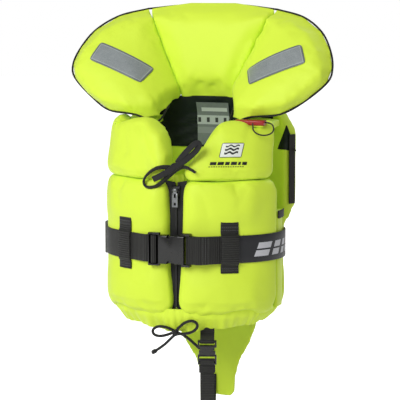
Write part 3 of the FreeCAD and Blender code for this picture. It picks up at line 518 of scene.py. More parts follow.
@dataclass(frozen=True)
class LabelCloth:
    """Care label: grey satin with a pale box of plain marks between darker bands."""

    name: str = "care_label"
    def material(self) -> Material:
        """Builds the material; the piece's UV map is in metres from the label's lower corner."""
        shader = Shader(self.name, Roughness=0.6, Specular_IOR_Level=0.3)
        place = shader.coords("UV")
        u, v = shader.axis(place, "X"), shader.axis(place, "Y")
        ground = shader.mix(shader.noise(place, 300.0), (0.12, 0.145, 0.13), (0.16, 0.185, 0.17))
        box = shader.between(v, 0.030, 0.043)
        ground = shader.mix(shader.math("MULTIPLY", box, 0.9), ground, (0.40, 0.45, 0.41))
        low = shader.between(v, 0.017, 0.026)
        ground = shader.mix(shader.math("MULTIPLY", low, 0.6), ground, (0.25, 0.28, 0.26))
        dots = shader.math("MULTIPLY", shader.between(v, 0.033, 0.040),
                           shader.math("GREATER_THAN", shader.stripes(u, 0.0130), 0.74))
        ground = shader.mix(dots, ground, (0.03, 0.035, 0.03))
        bar = shader.math("MULTIPLY", shader.between(v, 0.049, 0.0545), shader.between(u, 0.007, 0.046))
        ground = shader.mix(shader.math("MULTIPLY", bar, 0.8), ground, (0.55, 0.60, 0.56))
        shader.colour(ground)
        weave = shader.math("MULTIPLY", shader.stripes(u, 0.0006), shader.stripes(v, 0.0006))
        shader.bump(weave, 0.00006, 0.6)
        return shader.material


@dataclass(frozen=True)
class BadgePrint:
    """Printed badge: a pale field in a thin dark frame, with three heavy waves."""

    name: str = "badge_print"
    half: tuple[float, float] = (0.0155, 0.0102)
    frame: float = 0.0009

    def material(self) -> Material:
        """Builds the material; the piece's UV map is in metres from the badge's middle."""
        shader = Shader(self.name, Roughness=0.45, Specular_IOR_Level=0.4)
        place = shader.coords("UV")
        u, v = shader.axis(place, "X"), shader.axis(place, "Y")
        wave = shader.math("MULTIPLY", shader.math("SINE", shader.math("MULTIPLY", u, 2 * math.pi / 0.010)), 0.0011)
        level = shader.math("ADD", v, wave)
        waves = shader.math("MULTIPLY", shader.math("GREATER_THAN", shader.stripes(level, 0.0050), 0.42),
                            shader.math("LESS_THAN", shader.math("ABSOLUTE", level), 0.0068))
        inside = shader.math("LESS_THAN", shader.math("ABSOLUTE", u), 0.0095)
        frame = shader.math("MAXIMUM",
                            shader.math("GREATER_THAN", shader.math("ABSOLUTE", u), self.half[0] - self.frame),
                            shader.math("GREATER_THAN", shader.math("ABSOLUTE", v), self.half[1] - self.frame))
        mask = shader.math("MAXIMUM", frame, shader.math("MULTIPLY", waves, inside))
        shader.colour(shader.mix(mask, (0.80, 0.84, 0.76), (0.03, 0.032, 0.03)))
        shader.bump(shader.noise(place, 900.0), 0.00005, 0.4)
        return shader.material


class Wardrobe:
    """Every finish, built once and shared between the pieces that wear it."""

    def __init__(self) -> None:
        """Builds the materials."""
        self.fabric = CoatedFabric().material()
        self.webbing = Webbing().material()
        self.sewn = StitchedWebbing("sewn_webbing", rows=(0.036, 0.040, 0.044)).material()
        self.keeper = StitchedWebbing("keeper_webbing", rows=(0.004, 0.007, 0.064, 0.068), pitch=0.0030).material()
        self.crotch = Webbing("crotch_webbing", pitch=0.0026).material()
        # in each webbing below, the colour after the yarn's own colour is the painted shade in its grooves
        self.printed = PrintedWebbing("printed_webbing", Rib.FINE, 0.0012, (0.020, 0.021, 0.024),
                                      (0.010, 0.010, 0.012), 0.5).material()
        self.binding = Webbing("binding_tape", Rib.FINE, 0.0011, (0.016, 0.014, 0.011),
                               (0.006, 0.005, 0.004), 0.7).material()
        self.tape = Webbing("zip_tape", Rib.FINE, 0.0010, (0.016, 0.016, 0.016), (0.006, 0.006, 0.006)).material()
        self.braid = Braid().material()
        self.tie = Braid("tie_braid", (0.011, 0.011, 0.011), 0.0021).material()
        self.lanyard = Braid("lanyard_braid", (0.02, 0.02, 0.02), 0.0011).material()
        self.buckle = Moulded("buckle_plastic", (0.008, 0.008, 0.0075), 0.22, coat=0.12,
                              wear=(0.014, 0.014, 0.013)).material()
        self.slide = Moulded("adjuster_plastic", (0.075, 0.078, 0.068), 0.45, wear=(0.12, 0.125, 0.11)).material()
        self.metal = Moulded("slider_enamel", (0.12, 0.125, 0.13), 0.30, 0.55, wear=(0.30, 0.31, 0.32)).material()
        self.moulded = Moulded("zip_teeth", (0.014, 0.014, 0.014), 0.38).material()
        self.whistle = Moulded("whistle_plastic", (0.30, 0.012, 0.008), 0.3, coat=0.2).material()
        self.foam = Moulded("foam_slab", (0.80, 0.80, 0.76), 0.9, grain=0.0004).material()
        self.piping = Webbing("piping", Rib.FINE, 0.0011, (0.014, 0.014, 0.014), (0.005, 0.005, 0.005), 0.6).material()
        self.reflective = ReflectiveTape().material()
        self.lining = Lining().material()
        self.label = LabelCloth().material()
        self.badge = BadgePrint().material()


# ---------------------------------------------------------------- modelling helpers
class Bench:
    """Adds primitives and applies modifiers, with nothing else selected."""

    @staticmethod
    def only(piece: Object) -> None:
        """Selects one piece and makes it active."""
        bpy.ops.object.select_all(action="DESELECT")
        piece.select_set(True)
        bpy.context.view_layer.objects.active = piece

    @staticmethod
    def apply(piece: Object, kind: str, **settings: Any) -> None:
        """Adds a modifier and applies it.

        Args:
            piece: the object to change.
            kind: the modifier's type.
            settings: its properties.
        """
        Bench.only(piece)
        modifier = piece.modifiers.new(kind.lower(), kind)
        for key, value in settings.items():
            setattr(modifier, key, value)
        bpy.ops.object.modifier_apply(modifier=modifier.name)

    @staticmethod
    def grid(name: str, columns: int, rows: int, place: Callable[[float, float], Vector],
             measure: Callable[[float, float], tuple[float, float]]) -> Object:
        """Cuts a flat sheet from a grid and lays it on a surface.

        Args:
            name: name of the piece.
            columns: faces along it.
            rows: faces across it.
            place: point of the surface for a share along (0 to 1) and across (-1 to 1).
            measure: UV in metres for the same shares.

        Returns:
            The sheet, without thickness.
        """
        bpy.ops.object.select_all(action="DESELECT")
        bpy.ops.mesh.primitive_grid_add(x_subdivisions=columns, y_subdivisions=rows, size=2.0)
        piece = bpy.context.object
        piece.name = name
        mesh = piece.data
        mesh.name = name
        shares = [((v.co.x + 1) / 2, v.co.y) for v in mesh.vertices]
        for vertex, (u, v) in zip(mesh.vertices, shares):
            vertex.co = place(u, v)
        layer = mesh.uv_layers.active.data
        for loop in mesh.loops:
            layer[loop.index].uv = measure(*shares[loop.vertex_index])
        mesh.update()
        return piece

    @staticmethod
    def thicken(piece: Object, thickness: float, edge: float = 0.0, offset: float = 0.0) -> None:
        """Gives a sheet its thickness and softens its edges.

        Args:
            piece: the sheet.
            thickness: its thickness.
            edge: width of the softened edge, or 0.
            offset: which side the thickness grows to, from -1 to 1.
        """
        Bench.apply(piece, "SOLIDIFY", thickness=thickness, offset=offset)
        if edge:
            Bench.apply(piece, "BEVEL", width=edge, segments=2, limit_method="ANGLE", angle_limit=math.radians(50))
        Bench.smooth(piece)

    @staticmethod
    def smooth(piece: Object, angle: float = 40.0) -> None:
        """Shades a piece smooth, apart from edges sharper than angle degrees."""
        Bench.only(piece)
        bpy.ops.object.shade_smooth_by_angle(angle=math.radians(angle))

    @staticmethod
    def wear(piece: Object, material: Material) -> None:
        """Gives a piece one material."""
        piece.data.materials.clear()
        piece.data.materials.append(material)


@dataclass
class Ribbon:
    """A length of webbing along stations of (middle, across, normal)."""

    name: str
    width: float
    thickness: float
    stations: list[tuple[Vector, Vector]] = field(default_factory=list)
    edge: float = 0.0005
    rows: int = 4

    def build(self, material: Material, start: float = 0.0) -> Object:
        """Makes the webbing.

        Args:
            material: its finish.
            start: length along the webbing at which its UV map begins.

        Returns:
            The piece.
        """
        middles = [m for m, _ in self.stations]
        lengths = [start]
        for a, b in zip(middles, middles[1:]):
            lengths.append(lengths[-1] + (b - a).length)
        count = len(self.stations) - 1

        def at(u: float) -> int:
            """Index of the station of a share along."""
            return min(int(round(u * count)), count)

        piece = Bench.grid(self.name, count, self.rows,
                           lambda u, v: middles[at(u)] + self.stations[at(u)][1] * (v * self.width / 2),
                           lambda u, v: (lengths[at(u)], v * self.width / 2))
        Bench.thicken(piece, self.thickness, self.edge)
        Bench.wear(piece, material)
        return piece


def curve_through(points: Sequence[Sequence[float]], step: float) -> list[Vector]:
    """Points of a smooth path through the given ones, about step apart.

    Args:
        points: what the path goes through.
        step: distance between the returned points.

    Returns:
        The points, the first and the last of the given ones included.
    """
    pts = [Vector(p) for p in points]
    pts = [pts[0] * 2 - pts[1]] + pts + [pts[-1] * 2 - pts[-2]]
    path = []
    for a, b, c, d in zip(pts, pts[1:], pts[2:], pts[3:]):
        count = max(1, round((c - b).length / step))
        for k in range(count):
            t = k / count
            path.append(0.5 * ((2 * b) + (c - a) * t + (2 * a - 5 * b + 4 * c - d) * t * t
                               + (3 * b - a - 3 * c + d) * t ** 3))
    path.append(pts[-2])
    return path


def smooth_step(low: float, high: float, value: np.ndarray) -> np.ndarray:
    """Share from 0 at low to 1 at high, with soft ends."""
    share = np.clip((value - low) / (high - low), 0.0, 1.0)
    return share * share * (3 - 2 * share)


def metres(point: Iterable[float]) -> list[float]:
    """Coordinates in metres of a point given in millimetres."""
    return [c / 1000.0 for c in point]


def nearest_on(points: np.ndarray, line: Sequence[Sequence[float]]) -> tuple[np.ndarray, np.ndarray]:
    """Nearest place on a line of straight runs to each point.

    Args:
        points: an array of points.
        line: the line's points.

    Returns:
        The way from each point to its nearest place, and its length.
    """
    best, way = np.full(len(points), 1e9), np.zeros_like(points)
    ends = [np.array(tuple(p)) for p in line]
    for a, b in zip(ends, ends[1:]):
        run = b - a
        share = np.clip(((points - a) @ run) / max(run @ run, 1e-12), 0.0, 1.0)
        here = a + share[:, None] * run - points
        gap = np.linalg.norm(here, axis=1)
        closer = gap < best
        best, way = np.where(closer, gap, best), np.where(closer[:, None], here, way)
    return way, best


def distance_to(points: np.ndarray, line: Sequence[Sequence[float]]) -> np.ndarray:
    """Distance of each point to a line of straight runs."""
    return nearest_on(points, line)[1]


class Upholstery:
    """Makes padded pieces: a sewn shell is filled until its cloth is tight, then creased."""

    frames = 16

    def __init__(self, nodes: dict[str, Object]) -> None:
        """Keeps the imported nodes.

        Args:
            nodes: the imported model's objects by name.
        """
        self.nodes = nodes

    def copy(self, node: str, name: str) -> Object:
        """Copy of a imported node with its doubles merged.

        Args:
            node: the node to copy.
            name: name of the copy.

        Returns:
            The copy, at the origin.
        """
        source = self.nodes[node]
        mesh = source.data.copy()
        mesh.transform(source.matrix_world)
        mesh.materials.clear()
        piece = bpy.data.objects.new(name, mesh)
        bpy.context.scene.collection.objects.link(piece)
        Bench.only(piece)
        bpy.ops.object.mode_set(mode="EDIT")
        bpy.ops.mesh.select_all(action="SELECT")
        bpy.ops.mesh.remove_doubles(threshold=0.00001)
        bpy.ops.object.mode_set(mode="OBJECT")
        return piece

    @staticmethod
    def keep_outer(piece: Object) -> None:
        """Keeps only the loose part with the largest box: a hollow cover's outer skin."""
        shape = bmesh.new()
        shape.from_mesh(piece.data)
        seen: set[int] = set()
        shells: list[list[bmesh.types.BMVert]] = []
        for vertex in shape.verts:
            if vertex.index in seen:
                continue
            shell, queue = [], [vertex]
            seen.add(vertex.index)
            while queue:
                here = queue.pop()
                shell.append(here)
                for edge in here.link_edges:
                    other = edge.other_vert(here)
                    if other.index not in seen:
                        seen.add(other.index)
                        queue.append(other)
            shells.append(shell)

        def spread(shell: list[bmesh.types.BMVert]) -> float:
            """Diagonal of the box round a shell."""
            co = np.array([v.co[:] for v in shell])
            return float(np.linalg.norm(co.max(axis=0) - co.min(axis=0)))

        keep = set(max(shells, key=spread))
        bmesh.ops.delete(shape, geom=[v for v in shape.verts if v not in keep], context="VERTS")
        shape.to_mesh(piece.data)
        shape.free()

    @staticmethod
    def read(piece: Object) -> tuple[np.ndarray, np.ndarray]:
        """Vertices and their normals, as arrays."""
        mesh = piece.data
        co = np.empty(len(mesh.vertices) * 3)
        no = np.empty(len(mesh.vertices) * 3)
        mesh.vertices.foreach_get("co", co)
        mesh.vertices.foreach_get("normal", no)
        return co.reshape(-1, 3), no.reshape(-1, 3)

    @staticmethod
    def write(piece: Object, co: np.ndarray) -> None:
        """Puts the vertices back."""
        piece.data.vertices.foreach_set("co", co.ravel())
        piece.data.update()

    def fill(self, piece: Object, pressure: float, cap: float, share: Callable[[np.ndarray, np.ndarray], np.ndarray],
             slack: float = 0.0) -> None:
        """Fills a closed shell by a cloth simulation and keeps the result in its mesh.

        Args:
            piece: the closed shell.
            pressure: how hard it is filled.
            cap: the furthest that a point may move.
            share: what share of its travel each point keeps, from the points and their normals.
            slack: spare cloth, as a share of its length.
        """
        start, normals = self.read(piece)
        cloth = piece.modifiers.new("cloth", "CLOTH")
        cloth.settings.quality = 4
        cloth.settings.mass = 0.3
        cloth.settings.tension_stiffness = 12
        cloth.settings.compression_stiffness = 12
        cloth.settings.shear_stiffness = 4
        cloth.settings.bending_stiffness = 0.4
        cloth.settings.use_pressure = True
        cloth.settings.uniform_pressure_force = pressure
        cloth.settings.shrink_min = -slack
        cloth.settings.effector_weights.gravity = 0
        cloth.point_cache.frame_start, cloth.point_cache.frame_end = 1, self.frames
        scene = bpy.context.scene
        for frame in range(1, self.frames + 1):
            scene.frame_set(frame)
        result = piece.evaluated_get(bpy.context.evaluated_depsgraph_get())
        end = np.empty(len(result.data.vertices) * 3)
        result.data.vertices.foreach_get("co", end)
        travel = end.reshape(-1, 3) - start
        piece.modifiers.remove(cloth)
        scene.frame_set(1)
        length = np.linalg.norm(travel, axis=1)
        travel *= (cap * np.tanh(length / cap) / np.maximum(length, 1e-9))[:, None]
        self.write(piece, start + travel * share(start, normals)[:, None])

    def crease(self, piece: Object, line: Sequence[Sequence[float]], depth: float, width: float) -> None:
        """Presses a soft crease into a piece, or raises a fold where depth is negative.

        Args:
            piece: the padded piece.
            line: where the crease runs, near the surface.
            depth: how deep it goes.
            width: half its width.
        """
        co, normals = self.read(piece)
        amount = depth * np.exp(-(distance_to(co, line) / width) ** 2)
        self.write(piece, co - normals * amount[:, None])

    def draw_to(self, piece: Object, line: Sequence[Sequence[float]], most: float = 0.0075,
                width: float = 0.0095) -> None:
        """Draws a pad's edge out to the seam that it is sewn into.

        Args:
            piece: the padded piece.
            line: the seam.
            most: the furthest that a point is drawn.
            width: how far from the seam the pull still acts.
        """
        co, _ = self.read(piece)
        way, gap = nearest_on(co, line)
        pull = np.minimum(gap * 0.9, most * np.exp(-(gap / width) ** 2))
        self.write(piece, co + way / np.maximum(gap, 1e-9)[:, None] * pull[:, None])

    def rumple(self, piece: Object, depth: float, size: float, seed: float) -> None:
        """Gives a filled piece the slow hollows and swells of cloth over foam.

        Args:
            piece: the padded piece.
            depth: how far the surface moves each way.
            size: distance between the swells.
            seed: a number that makes each piece differ.
        """
        co, normals = self.read(piece)
        wave = np.array([noise.noise(Vector(p) / size + Vector((seed, 3 * seed, -seed))) for p in co])
        fine = np.array([noise.noise(Vector(p) / (size * 0.33) + Vector((seed, -seed, seed))) for p in co])
        self.write(piece, co + normals * (depth * wave + 0.35 * depth * fine)[:, None])

    def pad(self, node: str, name: str, voxel: float = 0.005) -> Object:
        """Outer skin of a cover as an even mesh, ready to be filled.

        Args:
            node: the cover's node.
            name: name of the padded piece.
            voxel: size of the mesh's faces.

        Returns:
            The skin.
        """
        piece = self.copy(node, name)
        self.keep_outer(piece)
        Bench.apply(piece, "REMESH", mode="VOXEL", voxel_size=voxel)
        Bench.apply(piece, "SMOOTH", factor=0.5, iterations=1)
        return piece

    @staticmethod
    def finish(piece: Object, material: Material, levels: int = 1) -> None:
        """Rounds a filled piece and dresses it.

        Args:
            piece: the filled piece.
            material: its cloth.
            levels: how many times its faces are divided.
        """
        Bench.apply(piece, "SMOOTH", factor=0.5, iterations=1)
        Bench.apply(piece, "SUBSURF", levels=levels, render_levels=levels)
        Bench.only(piece)
        bpy.ops.object.shade_smooth()
        Bench.wear(piece, material)

    def refine(self, node: str, name: str, bevel: float, material: Material, segments: int = 2) -> Object:
        """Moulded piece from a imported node, with its edges rounded.

        Args:
            node: the node it stands for.
            name: name of the piece.
            bevel: width of the rounded edges.
            material: its finish.
            segments: steps across a rounded edge.

        Returns:
            The piece.
        """
        piece = self.copy(node, name)
        Bench.only(piece)
        bpy.ops.object.mode_set(mode="EDIT")
        bpy.ops.mesh.select_all(action="SELECT")
        bpy.ops.mesh.dissolve_limited(angle_limit=math.radians(3))
        bpy.ops.object.mode_set(mode="OBJECT")
        Bench.apply(piece, "BEVEL", width=bevel, segments=segments, limit_method="ANGLE",
                    angle_limit=math.radians(35), miter_outer="MITER_ARC", use_clamp_overlap=True)
        Bench.smooth(piece, 35)
        Bench.wear(piece, material)
        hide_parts(node)
        return piece


# ---------------------------------------------------------------- sub-assemblies
@dataclass
class Studio:
    """Pale room, soft lamps and the camera."""

    azimuth: float = 19.0
    elevation: float = 7.0
    distance: float = 2.6
    target: tuple[float, float, float] = (0.0068, 0.0, -0.1256)
    view_width: float = 0.568
    floor_z: float = -0.4415

    def build(self) -> None:
        """Makes the floor, the lamps, the world and the camera."""
        scene = bpy.context.scene
        scene.view_settings.view_transform = "Standard"
        turn, rise = math.radians(self.azimuth), math.radians(self.elevation)
        back = Vector((math.sin(turn) * math.cos(rise), -math.cos(turn) * math.cos(rise), math.sin(rise)))
        lens = bpy.data.cameras.new("camera")
        lens.sensor_width, lens.lens = 36.0, 36.0 * self.distance / self.view_width
        lens.clip_start, lens.clip_end = 0.05, 50.0
        camera = bpy.data.objects.new("camera", lens)
        camera.location = Vector(self.target) + back * self.distance
        camera.rotation_euler = back.to_track_quat("Z", "Y").to_euler()
        scene.collection.objects.link(camera)
        scene.camera = camera
        self.floor()
        self.world()
        self.lamp("key", (-0.55, -2.6, 1.35), 1.3, 56.0)
        self.lamp("fill", (-2.2, -0.9, 0.7), 1.4, 4.0)
        self.lamp("rim", (0.6, 1.8, 1.4), 1.2, 14.0)

    def floor(self) -> None:
        """Lays the pale floor."""
        bpy.ops.object.select_all(action="DESELECT")
        bpy.ops.mesh.primitive_plane_add(size=16.0, location=(0, 0, self.floor_z))
        floor = bpy.context.object
        floor.name = "floor"
        shader = Shader("floor_paint", Roughness=0.9, Specular_IOR_Level=0.1)
        shader.body.inputs["Base Color"].default_value = (0.86, 0.86, 0.85, 1)
        rays = shader.node("LightPath")
        seen = shader.math("MAXIMUM", rays.outputs["Is Camera Ray"],
                           shader.math("MAXIMUM", rays.outputs["Is Glossy Ray"], rays.outputs["Is Transmission Ray"]))
        shader.body.inputs["Emission Color"].default_value = (1, 1, 1, 1)
        shader.tree.links.new(shader.math("MULTIPLY", seen, 0.95), shader.body.inputs["Emission Strength"])
        Bench.wear(floor, shader.material)

    @staticmethod
    def world() -> None:
        """Lights the room evenly and shows it white."""
        world = bpy.data.worlds.new("room")
        world.use_nodes = True
        bpy.context.scene.world = world
        tree = world.node_tree
        rays = tree.nodes.new("ShaderNodeLightPath")
        glow = tree.nodes["Background"]
        glow.inputs["Color"].default_value = (1, 1, 1, 1)
        most = tree.nodes.new("ShaderNodeMath")
        most.operation = "MAXIMUM"
        tree.links.new(rays.outputs["Is Camera Ray"], most.inputs[0])
        tree.links.new(rays.outputs["Is Transmission Ray"], most.inputs[1])
        level = tree.nodes.new("ShaderNodeMath")
        level.operation = "MULTIPLY_ADD"
        level.inputs[1].default_value, level.inputs[2].default_value = 0.66, 0.34
        tree.links.new(most.outputs[0], level.inputs[0])
        tree.links.new(level.outputs[0], glow.inputs["Strength"])

    def lamp(self, name: str, place: tuple[float, float, float], size: float, power: float) -> None:
        """Hangs a soft lamp that faces the jacket.

        Args:
            name: the lamp's name.
            place: where it hangs.
            size: its side.
            power: its power in watts.
        """
        data = bpy.data.lights.new(name, "AREA")
        data.size, data.energy = size, power
        lamp = bpy.data.objects.new(name, data)
        lamp.location = place
        lamp.rotation_euler = (Vector(place) - Vector(self.target)).to_track_quat("Z", "Y").to_euler()
        bpy.context.scene.collection.objects.link(lamp)


@dataclass
class Cord:
    """A free cord along its route's points, with its length, its far end and the pieces at its ends."""

    name: str
    node: str
    route: list[tuple[float, float, float]]
    diameter: float
    length: float
    far_end: str
    with_pieces: list[Any] = field(default_factory=list)
    tape: float = 0.0
    tilts: tuple[float, ...] = ()

    def build(self, material: Material, body: str = "jacket") -> Object:
        """Makes the cord as one smooth curve; a flat one is tape thick and turns by the tilts along its route.

        Args:
            material: its finish.
            body: what it rides on.

        Returns:
            The cord.
        """
        curve = bpy.data.curves.new(self.name, "CURVE")
        curve.dimensions = "3D"
        thick = self.tape or self.diameter
        curve.bevel_depth, curve.bevel_resolution, curve.use_fill_caps = thick / 2, 4, True
        curve.extrude = (self.diameter - thick) / 2
        curve.resolution_u = 8
        spline = curve.splines.new("NURBS")
        spline.points.add(len(self.route) - 1)
        for point, place in zip(spline.points, self.route):
            point.co = (*metres(place), 1.0)
        for point, tilt in zip(spline.points, self.tilts):
            point.tilt = math.radians(tilt)
        spline.order_u = 3
        spline.use_endpoint_u = True
        piece = bpy.data.objects.new(self.name, curve)
        bpy.context.scene.collection.objects.link(piece)
        piece.data.materials.append(material)
        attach(piece, body)
        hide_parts(self.node)
        metres(self.route[0])
        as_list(self.with_pieces)
        return piece


@dataclass
class Knot:
    """A tied knot: a small ball of cord whose turns wrap round it."""

    name: str
    node: str
    centre: tuple[float, float, float]
    radius: float
    cord: float
    turns: int = 3

    def build(self, material: Material) -> Object:
        """Winds the knot.

        Args:
            material: the cord's finish.

        Returns:
            The knot.
        """
        middle = Vector(self.centre) / 1000.0
        reach = self.radius / 1000.0 - self.cord / 2
        curve = bpy.data.curves.new(self.name, "CURVE")
        curve.dimensions = "3D"
        curve.bevel_depth, curve.bevel_resolution = self.cord / 2, 3
        curve.resolution_u = 6
        spline = curve.splines.new("NURBS")
        steps = 12 * self.turns
        spline.points.add(steps)
        for k in range(steps + 1):
            turn = 2 * math.pi * k / 12
            tilt = math.pi * k / steps
            ring = Vector((math.cos(turn) * 0.8, math.sin(turn) * 0.9, math.sin(turn + tilt) * 0.75))
            spline.points[k].co = (*(middle + ring.normalized() * reach), 1.0)
        spline.order_u = 3
        spline.use_endpoint_u = True
        piece = bpy.data.objects.new(self.name, curve)
        bpy.context.scene.collection.objects.link(piece)
        Bench.only(piece)
        bpy.ops.object.convert(target="MESH")
        core_size = reach * 0.85
        bpy.ops.object.select_all(action="DESELECT")
        bpy.ops.mesh.primitive_ico_sphere_add(subdivisions=3, radius=core_size, location=middle)
        core = bpy.context.object
        bpy.ops.object.transform_apply(location=True, rotation=True, scale=True)
        core.select_set(True)
        piece.select_set(True)
        bpy.context.view_layer.objects.active = piece
        bpy.ops.object.join()
        Bench.smooth(piece, 60)
        Bench.wear(piece, material)
        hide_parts(self.node)
        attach(piece, "jacket")
        return piece


@dataclass
class TorsoPads:
    """Front and back pads, the shoulder yokes and the side panels."""

    shop: Upholstery
    wardrobe: Wardrobe
    belt_z: float = -0.1825
    swell: float = 0.006

    @staticmethod
    def armhole(sign: float) -> list[tuple[float, float, float]]:
        """Line of one armhole's bound edge along the back pad."""
        return [(sign * x, y, z) for x, y, z in ((0.1285, 0.0440, -0.056), (0.1340, 0.0450, -0.060),
                                                 (0.1375, 0.0250, -0.134), (0.1240, 0.0000, -0.136))]

    def lift(self, piece: Object, sign: float) -> None:
        """Raises an upper pad's top until it meets the collar, less where the whistle lies on it.

        Args:
            piece: the upper pad.
            sign: -1 for the wearer's right.
        """
        co, _ = Upholstery.read(piece)
        top = smooth_step(-0.052, -0.024, co[:, 2])
        front = smooth_step(0.018, 0.046, -co[:, 1])
        flank = smooth_step(0.090, 0.104, np.abs(co[:, 0]))
        rise = 0.003 + 0.010 * np.maximum(front, flank)
        if sign > 0:
            rise -= 0.0034 * smooth_step(0.086, 0.094, co[:, 0]) * smooth_step(-0.125, -0.115, -co[:, 0])
        co[:, 2] += top * rise
        co[:, 0] += sign * 0.003 * top * flank
        Upholstery.write(piece, co)

    def keep(self, co: np.ndarray, normals: np.ndarray) -> np.ndarray:
        """How much of its travel each point keeps: little inside, at the belt and beside the zip.

        Args:
            co: the points.
            normals: their normals.

        Returns:
            One share for each point.
        """
        plan = co[:, :2] / np.maximum(np.linalg.norm(co[:, :2], axis=1), 1e-6)[:, None]
        outward = np.einsum("ij,ij->i", plan, normals[:, :2])
        facing = 0.10 + 0.90 * smooth_step(-0.1, 0.5, outward)
        belt = smooth_step(0.026, 0.052, np.abs(co[:, 2] - self.belt_z))
        zip_side = smooth_step(0.010, 0.030, np.abs(co[:, 0]))
        zip_side = np.where(co[:, 1] < 0, zip_side, 1.0)
        bound = np.minimum(distance_to(co, self.armhole(1.0)), distance_to(co, self.armhole(-1.0)))
        flank = 1 - 0.65 * smooth_step(0.098, 0.118, np.abs(co[:, 0]))
        return facing * belt * zip_side * flank * smooth_step(0.010, 0.034, bound)

    @staticmethod
    def close(piece: Object, sign: float) -> None:
        """Lets the lower pads come together towards the hem, over the end of the zip.

        Args:
            piece: the lower pad.
            sign: -1 for the wearer's right.
        """
        co, _ = Upholstery.read(piece)
        low = smooth_step(0.195, 0.275, -co[:, 2])
        co[:, 0] -= sign * 0.0042 * low * (1 - smooth_step(0.012, 0.050, np.abs(co[:, 0])))
        Upholstery.write(piece, co)

    def pad(self, nodes: Sequence[str], name: str, cap: float, creases: Iterable[tuple[list[Any], float, float]] = (),
            voxel: float = 0.005, slack: float = 0.03) -> Object:
        """Makes one padded piece in place of its cover and foam.

        Args:
            nodes: the cover's node, then what else it stands for.
            name: name of the piece.
            cap: the furthest that its cloth may swell.
            creases: lines pressed into it, in millimetres, with depth and half width in metres.
            voxel: size of the mesh's faces.
            slack: spare cloth.

        Returns:
            The piece.
        """
        piece = self.shop.pad(nodes[0], name, voxel)
        self.shop.fill(piece, 4.0, cap, self.keep, slack)
        Upholstery.finish(piece, self.wardrobe.fabric)
        self.shop.rumple(piece, 0.0013, 0.055, len(name) * 1.7 + cap * 300)
        if name.startswith("upper"):
            self.lift(piece, 1.0 if name.endswith("left") else -1.0)
        if name.startswith("lower"):
            self.close(piece, 1.0 if name.endswith("left") else -1.0)
        for line, depth, width in creases:
            self.shop.crease(piece, [metres(p) for p in line], depth, width)
        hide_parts(*nodes)
        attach(piece, "jacket")
        return piece

    def build(self) -> list[Object]:
        """Makes every pad of the torso."""
        made = []
        for side, sign in (("left", 1.0), ("right", -1.0)):
            low = [([(sign * 14, -98, -262), (sign * 60, -92, -264), (sign * 104, -62, -262)], 0.0016, 0.005),
                   ([(sign * 30, -99, -96), (sign * 45, -97, -116), (sign * 52, -96, -132)], 0.0012, 0.007),
                   ([(sign * 96, -66, -100), (sign * 88, -74, -122)], 0.0014, 0.007)]
            made.append(self.pad((f"front_lower_{side}_cover", f"front_lower_{side}_foam"), f"lower_pad_{side}",
                                 self.swell, low))
            if side == "left":
                high = [([(50, -60, -24), (66, -86, -54), (86, -72, -80)], 0.0020, 0.009),
                        ([(14, -95, -82), (60, -93, -83), (104, -60, -82)], 0.0014, 0.005)]
            else:
                high = [([(-62, -62, -14), (-44, -84, -46), (-28, -92, -70)], 0.0042, 0.008),
                        ([(-78, -66, -16), (-66, -82, -44), (-52, -92, -62)], 0.0024, 0.007),
                        ([(-84, -50, -24), (-80, -70, -52)], 0.0018, 0.008),
                        ([(-14, -95, -82), (-60, -93, -83), (-104, -60, -82)], 0.0014, 0.005)]
            made.append(self.pad((f"front_upper_{side}_cover", f"front_upper_{side}_foam"), f"upper_pad_{side}",
                                 0.0055, high))
        made.append(self.pad(("back_cover", "back_foam"), "back_pad", 0.006,
                             [([(-120, 60, -140), (0, 97, -142), (120, 60, -140)], 0.0030, 0.006)]
                             + [([(sign * x, y, z) for x, y, z in ((133, 44, -60), (136, 27, -134), (124, 4, -137))],
                                 0.0045, 0.010) for sign in (1, -1)], 0.006))
        yokes = self.shop.copy("shoulder_yokes", "yokes")
        Bench.apply(yokes, "REMESH", mode="VOXEL", voxel_size=0.0030)
        Bench.apply(yokes, "SMOOTH", factor=0.5, iterations=3)
        Upholstery.finish(yokes, self.wardrobe.fabric)
        self.shop.rumple(yokes, 0.0015, 0.030, 4.0)
        co, _ = Upholstery.read(yokes)
        co[:, 0] = np.copysign(np.maximum(np.abs(co[:, 0]), 0.070), co[:, 0])
        Upholstery.write(yokes, co)
        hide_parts("shoulder_yokes")
        panels = self.shop.copy("side_panels", "side_gussets")
        Bench.apply(panels, "REMESH", mode="VOXEL", voxel_size=0.004)
        Upholstery.finish(panels, self.wardrobe.fabric)
        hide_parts("side_panels")
        for piece in (yokes, panels):
            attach(piece, "jacket")
        return made + [yokes, panels]


